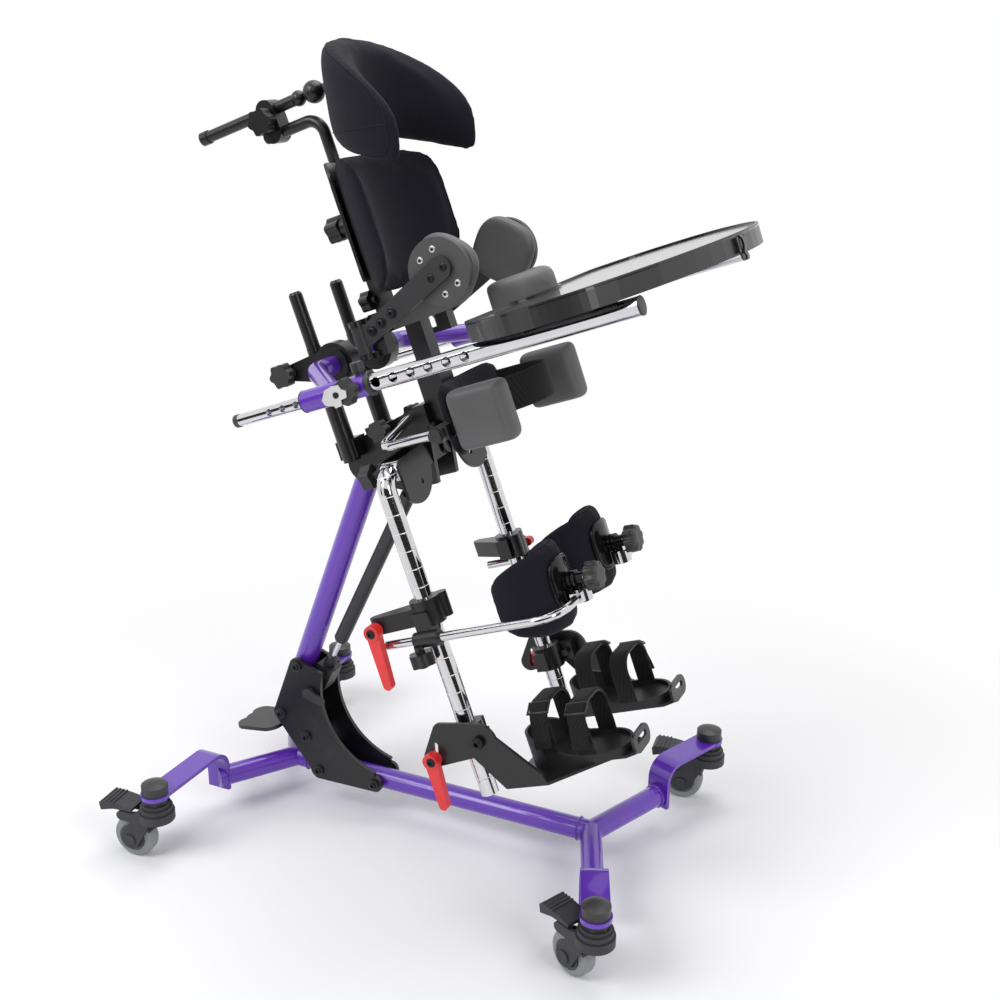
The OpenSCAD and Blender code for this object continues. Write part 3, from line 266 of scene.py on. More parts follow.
# Caps, bolts and star knobs: moulded dark plastic with a slight sheen.
# The bolt heads get their hexagon sockets, dished rims and all.
knob_plastic, at = start_finish("knob_plastic", {"IOR": 1.48, "Coat Weight": 0.12, "Coat Roughness": 0.3})
grain = at.noise(700.0, 3.0)
close_finish(knob_plastic, {
    "Base Color": at.noise(35.0, 4.0).tint((0.016, 0.016, 0.017, 1), (0.031, 0.031, 0.033, 1)),
    "Roughness": 0.36 + 0.16 * grain,
    "Normal": grain.bump(0.10, 0.0003)})
dress(knob_plastic, "base_fasteners", "frame_knobs", "release_pedal")

black_oxide, at = start_finish("black_oxide", {"Metallic": 0.6})
close_finish(black_oxide, {
    "Base Color": at.noise(300.0, 3.0).tint((0.010, 0.010, 0.011, 1), (0.030, 0.030, 0.033, 1)),
    "Roughness": 0.28 + 0.15 * at.noise(900.0, 2.0)})


def socket_screw(name, centre, axis, r, h, material, body, slot):
    """A button-head screw with a hexagon socket, standing along axis."""
    steps, flat = 24, 0.40
    axis, turns, outward = directions(axis, steps)
    hexagon = [flat / math.cos((t + math.pi / 6) % (math.pi / 3) - math.pi / 6) for t in turns]
    rings = [([1.0] * steps, 0), ([1.0] * steps, 0.35), ([0.86] * steps, 0.8), ([0.62] * steps, 1.0),
             (hexagon, 1.0), (hexagon, 0.25)]
    points = [Vector(centre) + axis * (h * z) + r * s * out
              for scales, z in rings for out, s in zip(outward, scales)]
    faces = skin(len(rings), steps, closed=False)
    return mesh_piece(name, points, faces, material, body, smooth=False)


def turned_piece(name, foot, axis, outline, material, body, lobes=0, ring=False, around=48):
    """A piece turned about axis from (height, radius) pairs in millimetres. Lobes scallop its rim."""
    axis, turns, outward = directions(axis, around)
    rim = [0.93 + 0.07 * math.cos(lobes * t) if lobes else 1.0 for t in turns]
    points = [Vector(foot) + 0.001 * (axis * h + r * s * out)
              for h, r in outline for out, s in zip(outward, rim)]
    piece = mesh_piece(name, points, skin(len(outline), around, closed=ring), material, body)
    edges = piece.modifiers.new("edges", "EDGE_SPLIT")
    edges.split_angle = math.radians(38)
    return piece


PLATE_FACE, PLATE_SCREW = 0.0319, (0.0058, 0.0030)
for k, (x, z) in enumerate([(-0.205, 0.058), (-0.106, 0.058), (-0.23688, 0.23144), (-0.27057, 0.14369),
                            (-0.215, 0.192), (-0.225, 0.113)]):
    for side in (-1, 1):
        name = f"plate_screw_{k}_{'l' if side > 0 else 'r'}"
        socket_screw(name, (x, side * PLATE_FACE, z), (0, side, 0), *PLATE_SCREW,
                     black_oxide, "base", "grey_plastic")


# Gas spring: a painted cylinder over a polished rod, on a black release block.
# The rod node turns from black block to bright rod along the spring's axis.
gas_paint, at = start_finish("gas_paint", {"IOR": 1.5, "Coat Weight": 0.2, "Coat Roughness": 0.2})
close_finish(gas_paint, {
    "Base Color": at.noise(18.0, 4.0).tint((0.010, 0.010, 0.011, 1), (0.018, 0.018, 0.020, 1)),
    "Roughness": 0.34 + 0.12 * at.noise(500.0, 2.0),
    "Normal": at.noise(1100.0, 1.0).bump(0.06, 0.0003)})
dress(gas_paint, "gas_cylinder")

gas_steel, at = start_finish("gas_steel", {"IOR": 1.5})
bright = at.along(joints["gas_pivot"]["pos_m"], joints["gas_stroke"]["axis"]).ramp(0.0600, 0.0606)
close_finish(gas_steel, {
    "Base Color": bright.tint((0.012, 0.012, 0.013, 1), (0.72, 0.72, 0.73, 1)),
    "Metallic": bright * 0.98,
    "Roughness": 0.40 - 0.28 * bright + 0.08 * at.noise(600.0, 2.0)})
dress(gas_steel, "gas_rod")


# Chrome bars: tray tubes with their row of adjustment holes, hip bars and knee rods.
# Bright plating over ground tube, with hairline polishing marks and a few smears.
BODY = Matrix.Translation((-0.105, 0, 0.575)) @ Matrix.Rotation(math.radians(-20), 4, "Y")
FORWARD = BODY.to_3x3() @ Vector((1, 0, 0))
UPWARD = BODY.to_3x3() @ Vector((0, 0, 1))
SIDEWAYS = Vector((0, 1, 0))


def body_point(u, y, v):
    """A point of the reclined body frame, given in millimetres from the tilt pivot."""
    return BODY @ Vector((u / 1000, y / 1000, v / 1000))


chrome, at = start_finish("chrome", {"Metallic": 1.0})
smear = at.noise(30.0, 4.0)
hairline = at.noise(1800.0, 1.0)
close_finish(chrome, {
    "Base Color": smear.tint((0.58, 0.58, 0.60, 1), (0.74, 0.74, 0.75, 1)),
    "Roughness": 0.055 + 0.05 * smear + 0.03 * hairline,
    "Normal": hairline.bump(0.015, 0.0002)})
dress(chrome, "tray_tubes", "hip_bars", "knee_rod_right", "knee_rod_left")


# Push frame fittings: black collars at the sleeves' ends, caps on the rear rods, plugs in the tubes
# and a bright lock plate beside each sleeve's knob. Moulded plastic and zinc-plated steel.
zinc_plate, at = start_finish("zinc_plate", {"Metallic": 0.9})
close_finish(zinc_plate, {
    "Base Color": at.noise(60.0, 4.0).tint((0.70, 0.70, 0.71, 1), (0.86, 0.86, 0.87, 1)),
    "Roughness": 0.26 + 0.14 * at.noise(400.0, 2.0)})
SIDES = ((-1, "right"), (1, "left"))
SLEEVE_Y, SLEEVE_V = 205, 120
SLEEVE_FRONT, SLEEVE_REAR, ROD_END, TUBE_END = 169.2, 70.9, -45, 532.5
PLUNGER_U, PLUNGER_V = 160, 133.5
LOCK_U, LOCK_Y, LOCK_THICK = 149, 238.6, 1.8
RIVET_U, RIVET_Y = 141, 240.3
LOCK_OUTLINE = [(-30, -2), (-27, -9), (-16, -12), (-14, -15), (-4, -14), (-3, -7),
                (6, -6), (8, 2), (2, 5), (0, 11), (-10, 12), (-22, 9)]
for side, name in SIDES:
    y = side * SLEEVE_Y
    turned_piece("sleeve_collar_" + name, body_point(SLEEVE_FRONT, y, SLEEVE_V), FORWARD,
                 [(0, 11.6), (0, 15.2), (1.2, 15.8), (4.6, 15.8), (5.6, 14.6), (5.6, 11.6)],
                 knob_plastic, "frame", ring=True)
    turned_piece("sleeve_back_" + name, body_point(SLEEVE_REAR, y, SLEEVE_V), -FORWARD,
                 [(0, 11.5), (0, 14.4), (1.6, 14.4), (2.4, 13.4), (2.4, 11.5)],
                 knob_plastic, "frame", ring=True)
    turned_piece("rod_cap_" + name, body_point(ROD_END, y, SLEEVE_V), FORWARD,
                 [(0, 6.5), (0.6, 8.0), (1.4, 8.6), (7.4, 8.6), (8, 8.1)],
                 knob_plastic, "tray")
    turned_piece("tube_plug_" + name, body_point(TUBE_END, y, SLEEVE_V), FORWARD,
                 [(0, 11.0), (1.6, 11.4), (2.6, 11.2), (3.2, 9.6), (3.3, 4.0)],
                 knob_plastic, "tray")
    turned_piece("sleeve_plunger_" + name, body_point(PLUNGER_U, y, PLUNGER_V), UPWARD,
                 [(0, 6.0), (4, 6.0), (4.2, 8.2), (15, 8.2), (16.5, 7.0), (16.7, 3.0)],
                 knob_plastic, "frame")
    count = len(LOCK_OUTLINE)
    points = [body_point(LOCK_U + u, side * (LOCK_Y + t), SLEEVE_V + v)
              for t in (0, LOCK_THICK) for u, v in LOCK_OUTLINE]
    faces = [tuple(range(count)), tuple(range(2 * count - 1, count - 1, -1))] \
        + [(k, k + count, (k + 1) % count + count, (k + 1) % count) for k in range(count)]
    faces = [f[::side] for f in faces]
    mesh_piece("lock_plate_" + name, points, faces, zinc_plate, "frame", smooth=False)
    turned_piece("lock_rivet_" + name, body_point(RIVET_U, side * RIVET_Y, SLEEVE_V), (0, side, 0),
                 [(0, 4.0), (0.8, 4.0), (1.2, 3.2), (1.2, 0.2)], black_oxide, "frame")


# Tray: a thermoformed panel with a grained dark rim band and a polished top.
# The top is told from the band by its height above the tray's underside.
TRAY_V = 150.0
tray_plastic, at = start_finish("tray_plastic", {"IOR": 1.5, "Coat Weight": 0.25, "Coat Roughness": 0.06})
height = at.along(body_point(0, 0, TRAY_V), UPWARD)
polished = height.ramp(0.0035, 0.0049) * (1.0 - height.ramp(0.0056, 0.0068))
leather = at.noise(420.0, 3.0)
close_finish(tray_plastic, {
    "Base Color": at.noise(14.0, 3.0).tint((0.012, 0.012, 0.013, 1), (0.019, 0.019, 0.021, 1)),
    "Roughness": 0.36 - 0.26 * polished + 0.10 * leather,
    "Normal": (leather * (1.0 - 0.9 * polished)).bump(0.16, 0.0004)})
dress(tray_plastic, "tray_panel")


# Moulded vinyl pads: chest, lateral and hip cushions of self-skinned foam, charcoal,
# with a soft pebbled skin. The chest pad is bent to the body and sits at the tray's cut-out.
AROUND = 112
CHEST_U, CHEST_V, CHEST_BEND = 278, 160.1, 51


def lobed(c, power):
    return np.sign(c) * np.abs(c) ** (2 / power)


def pad_points(width, height, front, back, corner, bend, droop=0.0, taper=0.0, pinch=0.03, soft=4.0,
               around=AROUND, rings=14):
    """Closed pad in its own frame, millimetres: x across, y up, z to the front."""
    turn = np.arange(around) * 2 * math.pi / around
    steps = 1 - (1 - np.arange(1, rings + 1) / rings) ** 2
    shells = [(q, front) for q in steps] + [(q, -back) for q in steps[-2::-1]]
    points = [[0, 0, front]]
    for q, bulge in shells:
        x = q * width / 2 * lobed(np.cos(turn), corner) * (1 - pinch * np.cos(turn) ** 8)
        k = (2 * x / width) ** 2
        y = (q * height / 2 * lobed(np.sin(turn), corner) * (1 - pinch * np.sin(turn) ** 8)
             * (1 - taper * k))
        z = np.full(around, bulge * (1 - q ** soft) ** 0.5)
        points += np.stack([x, y - droop * k, z], 1).tolist()
    points = np.array(points + [[0, 0, -back]])
    if bend:
        x, y, z = points.T
        points = np.stack([(bend - z) * np.sin(x / bend), y, bend - (bend - z) * np.cos(x / bend)], 1)
    count, last = len(shells), len(points) - 1
    faces = [(0, 1 + k, 1 + (k + 1) % around) for k in range(around)]
    for s in range(count - 1):
        a, b = 1 + s * around, 1 + (s + 1) * around
        faces += [(a + k, b + k, b + (k + 1) % around, a + (k + 1) % around) for k in range(around)]
    a = 1 + (count - 1) * around
    faces += [(last, a + (k + 1) % around, a + k) for k in range(around)]
    rim = points[1 + (rings - 1) * around:1 + rings * around]
    return points, faces, rim


def placed(points, place, mirror=False):
    """Pad points, millimetres, carried to the row frame, or to its mirror image across the middle."""
    moved = [BODY @ (place @ Vector(p) * 0.001) for p in points]
    return [Vector((p.x, -p.y, p.z)) for p in moved] if mirror else moved


def turned(faces, mirror):
    return [f[::-1] for f in faces] if mirror else faces


vinyl, at = start_finish("vinyl", {"IOR": 1.47, "Sheen Weight": 0.05})
pores = at.node("ShaderNodeTexVoronoi", {}, {"Vector": at, "Scale": 900.0})
close_finish(vinyl, {
    "Base Color": at.noise(25.0, 5.0).tint((0.078, 0.078, 0.080, 1), (0.108, 0.108, 0.111, 1)),
    "Roughness": 0.44 + 0.12 * at.noise(80.0, 3.0),
    "Normal": pores.bump(0.10, 0.0004)})

FACING_BACK = Matrix(((0, 0, -1, 0), (-1, 0, 0, 0), (0, 1, 0, 0), (0, 0, 0, 1)))
FACING_FRONT = Matrix(((0, 0, 1, 0), (1, 0, 0, 0), (0, 1, 0, 0), (0, 0, 0, 1)))
FACING_LEFT = Matrix(((-1, 0, 0, 0), (0, 0, 1, 0), (0, 1, 0, 0), (0, 0, 0, 1)))

chest_place = (Matrix.Translation((CHEST_U, 0, CHEST_V)) @ FACING_BACK
               @ Matrix.Translation((0, 0, -CHEST_BEND)))
points, faces, _ = pad_points(width=160, height=58, front=16, back=17.7, corner=6, bend=CHEST_BEND,
                              soft=5.0)
chest = mesh_piece("chest_cushion", placed(points, chest_place), faces, vinyl, "tray")
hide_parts("chest_pad")


# Tray latch: a small hooked lever that hangs in a pocket at the tray's front rim.
# Pressed steel, with a housing of two cheeks and a plate, all in satin black.
def box_profile(half, low, high):
    return [(-half, low), (half, low), (half, high), (-half, high)]


HOUSING_U, HOUSING_V = 606.5, 144.5
HOOK_U, HOOK_Y, HOOK_V = 608, -37.6, 148
for k, (low, high, out) in enumerate([(-56, -50, 3.0), (-25, -19, 3.0), (-52, -23, 1.2)]):
    points, faces = sweep([body_point(HOUSING_U, y, HOUSING_V) for y in (low, high)], [UPWARD] * 2,
                          box_profile(0.009, -0.003, 0.001 * out))
    mesh_piece(f"latch_housing_{k}", points, faces, black_metal, "tray", smooth=False)
hook = [body_point(HOOK_U + a, HOOK_Y, HOOK_V + b)
        for a, b in [(0, 6), (3, 2), (3.4, -6), (1.6, -13), (3, -19), (2, -23)]]
points, faces = sweep(hook, [SIDEWAYS] * len(hook), box_profile(0.005, -0.0012, 0.0012))
mesh_piece("tray_latch", points, faces, black_metal, "tray", smooth=False)


# Stretch-knit covers: back, head, knee and pelvic cushions in a blue-black fabric.
# Foam sewn into a fitted cover, so each swells a little between its seams.
STITCH_TURNS = 5200.0
SWELL, SEAM_RADIUS, BACK_SEAM_RADIUS = 0.004, 0.0011, 0.0014
BACK_U, BACK_V = 127, 307.5
HEAD_U, HEAD_V, HEAD_TILT, NECK_V = 153.5, 480.5, 11, 494
HEAD_BEND, HEAD_OUTSIDE, WING_LOW = 103, 121, -54
PELVIC_U, PELVIC_V = 172, 34
knit, at = start_finish("knit_cover", {"Sheen Weight": 0.07, "Sheen Roughness": 0.6, "IOR": 1.4,
                                       "Specular IOR Level": 0.12})
rows = at.along((0, 0, 0), UPWARD)
wales = at.along((0, 0, 0), (0.5, 0.86, 0.1))
stitch = (rows * STITCH_TURNS).sine() * (wales * STITCH_TURNS).sine()
lint = at.noise(240.0, 5.0)
tone = 0.5 + 0.22 * stitch + 0.5 * (lint - 0.5)
close_finish(knit, {
    "Base Color": tone.tint((0.0045, 0.0042, 0.0075, 1), (0.0125, 0.0118, 0.020, 1)),
    "Roughness": 0.82 + 0.12 * lint,
    "Normal": (0.5 * stitch + lint).bump(0.16, 0.0005)})


def puffed(piece, cap):
    """Lets the cover swell under a little pressure, no point moving further than cap metres."""
    scene, last = bpy.context.scene, 20
    bpy.context.view_layer.objects.active = piece
    remesh = piece.modifiers.new("remesh", "REMESH")
    remesh.mode, remesh.voxel_size = "VOXEL", 0.0045
    bpy.ops.object.modifier_apply(modifier=remesh.name)
    start = np.array([v.co for v in piece.data.vertices])
    cloth = piece.modifiers.new("cover", "CLOTH")
    cloth.settings.use_pressure = True
    cloth.settings.uniform_pressure_force = 4.0
    cloth.settings.effector_weights.gravity = 0.0
    cloth.settings.quality = 5
    cloth.point_cache.frame_start, cloth.point_cache.frame_end = 1, last
    for step in range(1, last + 1):
        scene.frame_set(step)
    swollen = piece.evaluated_get(bpy.context.evaluated_depsgraph_get()).to_mesh()
    move = np.array([v.co for v in swollen.vertices]) - start
    piece.modifiers.remove(cloth)
    scene.frame_set(1)
    far = np.linalg.norm(move, axis=1)[:, None]
    share = np.minimum(1, cap / np.maximum(far, 1e-9))
    piece.data.vertices.foreach_set("co", (start + move * share).ravel())
    relax = piece.modifiers.new("relax", "SMOOTH")
    relax.factor, relax.iterations = 0.5, 5
    bpy.ops.object.modifier_apply(modifier=relax.name)
    smooth = piece.modifiers.new("smooth", "SUBSURF")
    smooth.levels = smooth.render_levels = 1
    bpy.ops.object.modifier_apply(modifier=smooth.name)
    piece.data.polygons.foreach_set("use_smooth", [True] * len(piece.data.polygons))
    return piece


def laid_on(piece, line):
    """A line of points, each brought to the nearest place on a cushion's cover."""
    corners = [v.co for v in piece.data.vertices]
    cover = BVHTree.FromPolygons(corners, [p.vertices[:] for p in piece.data.polygons])
    return [cover.find_nearest(p)[0] for p in line]


def seam(name, line, radius, material, body, closed=True, sides=8):
    """A round ridge along a line of points in the row frame."""
    middle = sum(line, Vector()) / len(line)
    across = [p - middle for p in line] if closed else [UPWARD] * len(line)
    points, faces = sweep(line, across, round_profile(radius, sides), closed)
    return mesh_piece(name, points, faces, material, body)


back_place = Matrix.Translation((BACK_U, 0, BACK_V)) @ FACING_FRONT
points, faces, rim = pad_points(width=266, height=196, front=12, back=12, corner=4, bend=118, taper=0.13)
back = puffed(mesh_piece("back_cushion", placed(points, back_place), faces, knit, "back"), SWELL)
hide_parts("back_pad")
line = laid_on(back, placed(rim, back_place))
seam("back_seam", line, BACK_SEAM_RADIUS, knit, "back")

head_place = (Matrix.Translation((HEAD_U, 0, HEAD_V)) @ Matrix.Rotation(math.radians(HEAD_TILT), 4, "Y")
              @ FACING_FRONT)
points, faces, _ = pad_points(width=375, height=136, front=21, back=16, corner=3.6, bend=HEAD_BEND,
                              droop=76, taper=0.3)
outer_seam = points[1 + 17 * AROUND:1 + 18 * AROUND]
head = puffed(mesh_piece("head_cushion", placed(points, head_place), faces, knit, "head_rest"), SWELL)
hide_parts("head_pad")
line = laid_on(head, placed(outer_seam, head_place))
seam("head_seam", line, SEAM_RADIUS, knit, "head_rest")
for side, name in SIDES:
    turns = np.linspace(62, 172, 40) / HEAD_BEND
    low_edge = [(side * HEAD_OUTSIDE * math.sin(t), WING_LOW, HEAD_BEND - HEAD_OUTSIDE * math.cos(t))
                for t in turns]
    line = laid_on(head, placed(low_edge, head_place))
    seam("head_wing_seam_" + name, line, SEAM_RADIUS, knit, "head_rest", closed=False)
neck_path = [body_point(u, 0, NECK_V) for u in (114.3, 118, 130, 150)]
points, faces = sweep(neck_path, [SIDEWAYS] * len(neck_path), round_profile(0.006, 20))
mesh_piece("head_neck", points, faces, black_metal, "head_rest")

pelvic_place = Matrix.Translation((PELVIC_U, 0, PELVIC_V)) @ FACING_FRONT
points, faces, rim = pad_points(width=181, height=107, front=15, back=13, corner=5, bend=230)
pelvic = puffed(mesh_piece("pelvic_cushion", placed(points, pelvic_place), faces, knit, "frame"), SWELL)
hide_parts("pelvic_pad")
line = laid_on(pelvic, placed(rim, pelvic_place))
seam("pelvic_seam", line, SEAM_RADIUS, knit, "frame")


# Webbing: the pelvic belt and the foot straps, flat woven polyester in black.
# The weave shows as fine crossed ribs, and the edges are rolled.
RIB_TURNS = 2400.0
BELT_RADIUS, BELT_V, BELT_BAND = 68, 46.5, (0.045, 0.004)
BELT_ROOT_U, BELT_END_U, BELT_BOW_U = 192, 226, 228
webbing, at = start_finish("webbing", {"Sheen Weight": 0.06, "IOR": 1.45, "Specular IOR Level": 0.2})
warp = at.along((0, 0, 0), (0.35, 0.75, 0.55))
weft = at.along((0, 0, 0), (0.80, -0.20, 0.55))
rib = (warp * RIB_TURNS).sine() * (weft * RIB_TURNS).sine()
fuzz = at.noise(500.0, 4.0)
tone = 0.5 + 0.45 * rib + 0.4 * (fuzz - 0.5)
close_finish(webbing, {
    "Base Color": tone.tint((0.0020, 0.0019, 0.0020, 1), (0.0190, 0.0175, 0.0165, 1)),
    "Roughness": 0.66 + 0.16 * fuzz,
    "Normal": (rib + fuzz).bump(0.35, 0.0006)})


def band(name, path, across, width, thick, body):
    """A flat band of webbing with rolled edges."""
    w, t = width / 2, thick / 2
    edge = [(-w, -t * 0.5), (-w + t, -t), (w - t, -t), (w, -t * 0.5),
            (w, t * 0.5), (w - t, t), (-w + t, t), (-w, t * 0.5)]
    points, faces = sweep(path, across, edge)
    return mesh_piece(name, points, faces, webbing, body)


belt_line = [body_point(u, -BELT_RADIUS, BELT_V) for u in np.linspace(BELT_ROOT_U, BELT_END_U, 5)] \
    + [body_point(BELT_BOW_U + BELT_RADIUS * math.cos(a), BELT_RADIUS * math.sin(a), BELT_V)
       for a in np.linspace(-math.pi / 2, math.pi / 2, 49)] \
    + [body_point(u, BELT_RADIUS, BELT_V) for u in np.linspace(BELT_END_U, BELT_ROOT_U, 5)]
belt = band("pelvic_belt", belt_line, [UPWARD] * len(belt_line), *BELT_BAND, "frame")
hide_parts("pelvic_pad")


# Lateral supports: flat black arms, round pad plates with threaded inserts, and vinyl pads.
# Two screws hold each arm to its plate, and four bright inserts stand ready for other places.
PAD_U, PAD_Y, PAD_V, PAD_TURN = 252, 87.7, 221, 40
HINGE_U, HINGE_V = 114, 168
PLATE_Y, PAD_SCREW_Y, ARM_Y, ARM_SCREW_Y = 103.9, 109.9, 109.8, 110.7
HOLE_SIDE, HOLE_UP = 11.5, 26
INSERT_HEAD, THREAD_HEAD = (0.0046, 0.0011), (0.0026, 0.0014)
PAD_SCREW, ARM_SCREW = (0.0052, 0.0024), (0.0050, 0.0030)
insert_steel, at = start_finish("insert_steel", {"Metallic": 1.0})
close_finish(insert_steel, {
    "Base Color": at.noise(400.0, 3.0).tint((0.62, 0.60, 0.55, 1), (0.78, 0.76, 0.72, 1)),
    "Roughness": 0.20 + 0.12 * at.noise(700.0, 2.0)})
plate_plastic, at = start_finish("plate_plastic", {"IOR": 1.47})
grain = at.noise(800.0, 2.0)
mottle = at.noise(25.0, 4.0)
arm = at.along((0, 0, 0), SIDEWAYS).size().ramp(0.1044, 0.1052)
close_finish(plate_plastic, {
    "Base Color": arm.tint(mottle.tint((0.050, 0.050, 0.051, 1), (0.070, 0.070, 0.072, 1)),
                           mottle.tint((0.016, 0.016, 0.017, 1), (0.026, 0.026, 0.028, 1))),
    "Roughness": 0.42 + 0.12 * grain,
    "Normal": grain.bump(0.10, 0.0003)})
lean = math.atan2(57, 142)
for side, name in SIDES:
    left = side > 0
    dress(plate_plastic, "lateral_arm_" + name)
    body, out = "lateral_" + name, (0, side, 0)
    lateral_place = (Matrix.Translation((PAD_U, -PAD_Y, PAD_V)) @ FACING_LEFT
                     @ Matrix.Rotation(math.radians(PAD_TURN), 4, "Z"))
    points, faces, _ = pad_points(width=86, height=86, front=13, back=8, corner=2.7, bend=0,
                                  pinch=0.0, soft=16.0, rings=20)
    pad = mesh_piece("lateral_cushion_" + name, placed(points, lateral_place, left), turned(faces, left),
                     vinyl, body)
    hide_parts("lateral_pad_" + name)
    for k, (a, b) in enumerate([(HOLE_SIDE, HOLE_UP), (-HOLE_SIDE, HOLE_UP),
                                (HOLE_SIDE, -HOLE_UP), (-HOLE_SIDE, -HOLE_UP)]):
        u = PAD_U + a * math.cos(lean) - b * math.sin(lean)
        v = PAD_V + a * math.sin(lean) + b * math.cos(lean)
        place = body_point(u, side * PLATE_Y, v)
        socket_screw(f"lateral_insert_{name}_{k}", place, out, *INSERT_HEAD,
                     insert_steel, body, "chrome")
        socket_screw(f"lateral_thread_{name}_{k}", place, out, *THREAD_HEAD,
                     black_oxide, body, "black_metal")
    for k, a in enumerate((HOLE_SIDE, -HOLE_SIDE)):
        u, v = PAD_U + a * math.cos(lean), PAD_V + a * math.sin(lean)
        socket_screw(f"lateral_screw_{name}_{k}", body_point(u, side * PAD_SCREW_Y, v), out,
                     *PAD_SCREW, black_oxide, body, "black_metal")
    for k, share in enumerate((0.16, 0.28, 0.42)):
        u, v = HINGE_U + share * (PAD_U - HINGE_U), HINGE_V + share * (PAD_V - HINGE_V)
        turned_piece(f"arm_washer_{name}_{k}", body_point(u, side * ARM_Y, v), out,
                     [(0, 7.4), (0.9, 7.4), (1.2, 6.9), (1.0, 5.4), (1.0, 0.1)],
                     black_oxide, body)
        socket_screw(f"arm_screw_{name}_{k}", body_point(u, side * ARM_SCREW_Y, v), out,
                     *ARM_SCREW, black_oxide, body, "black_metal")


# Hip pads: square blocks of skinned foam on a short bar that clamps to the hip bar.
# The bar is black steel, a broad foot and a neck that enters the pad's rear face.
HIP_U, HIP_Y, HIP_V = 255, 113, 37
HIP_FOOT_Y, HIP_BAR_V = 115, 28
for side, name in SIDES:
    left, body = side > 0, "hip_" + name
    hip_place = Matrix.Translation((HIP_U, -HIP_Y, HIP_V)) @ FACING_LEFT
    points, faces, _ = pad_points(width=82, height=82, front=23, back=20, corner=7, bend=0, soft=11.0)
    pad = mesh_piece("hip_cushion_" + name, placed(points, hip_place, left), turned(faces, left),
                     vinyl, body)
    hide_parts("hip_pad_" + name)
    foot = [body_point(u, side * HIP_FOOT_Y, HIP_BAR_V) for u in (203.3, 208)]
    points, faces = sweep(foot, [UPWARD] * 2, box_profile(0.009, -0.016, 0.016))
    mesh_piece("hip_bar_foot_" + name, points, faces, black_metal, body, smooth=False)
    neck = [body_point(u, side * HIP_Y, HIP_BAR_V) for u in (207, 217)]
    points, faces = sweep(neck, [UPWARD] * 2, box_profile(0.007, -0.006, 0.006))
    mesh_piece("hip_bar_neck_" + name, points, faces, black_metal, body, smooth=False)


# Leg tubes: chromed tube scribed with a fine ring at every inch, so both legs set alike.
# The rings are cut through the plating and look pale and dull beside it.
HALF_INCH, FIRST_RING_V = 0.0127, -440
leg_chrome, at = start_finish("leg_chrome", {"Metallic": 1.0})
length = at.along(body_point(0, 0, FIRST_RING_V), UPWARD)
inch = at.math("PINGPONG", length, HALF_INCH)
ring = 1.0 - inch.ramp(0.0004, 0.0008)
smear = at.noise(30.0, 4.0)
plating = smear.tint((0.58, 0.58, 0.60, 1), (0.74, 0.74, 0.75, 1))
close_finish(leg_chrome, {
    "Base Color": ring.tint(plating, (0.85, 0.85, 0.84, 1)),
    "Roughness": 0.055 + 0.04 * smear + 0.5 * ring,
    "Normal": (1.0 - ring).bump(0.25, 0.0003)})
dress(leg_chrome, "leg_tube_right", "leg_tube_left")


# Knee and foot hardware: black castings, red clamping levers with a moulded satin skin,
# and glossy black shells, turned barrels and star knobs behind the sewn knee cushions.
KNEE_U, KNEE_Y, KNEE_V = 206, 74, -206
SHELL_BEND, KNEE_BEND, KNEE_PAD_V, KNEE_SWELL = 67.5, 54, -210, 0.0035
BARREL_U, WASHER_U, KNOB_U = 274.5, 302.6, 304.6
PIVOT_U, PIVOT_V = 290, -236
KNEE_PIN, FOOT_PIN, FOOT_BOLT = (26, 180.2, -201), (48, 178.2, -393), (122, 166.9, -378)
PIN_HEAD, BOLT_HEAD = (0.0065, 0.003), (0.0085, 0.005)
red_lever, at = start_finish("red_lever", {"IOR": 1.48, "Coat Weight": 0.2, "Coat Roughness": 0.15})
grain = at.noise(500.0, 2.0)
close_finish(red_lever, {
    "Base Color": at.noise(40.0, 4.0).tint((0.62, 0.018, 0.020, 1), (0.76, 0.034, 0.036, 1)),
    "Roughness": 0.30 + 0.14 * grain,
    "Normal": grain.bump(0.06, 0.0003)})
shell_gloss, at = start_finish("shell_gloss", {"IOR": 1.5, "Specular IOR Level": 0.22,
                                               "Coat Weight": 0.15, "Coat Roughness": 0.04})
close_finish(shell_gloss, {
    "Base Color": at.noise(30.0, 3.0).tint((0.0035, 0.0035, 0.004, 1), (0.007, 0.007, 0.0075, 1)),
    "Roughness": 0.15 + 0.05 * at.noise(22.0, 2.0)})
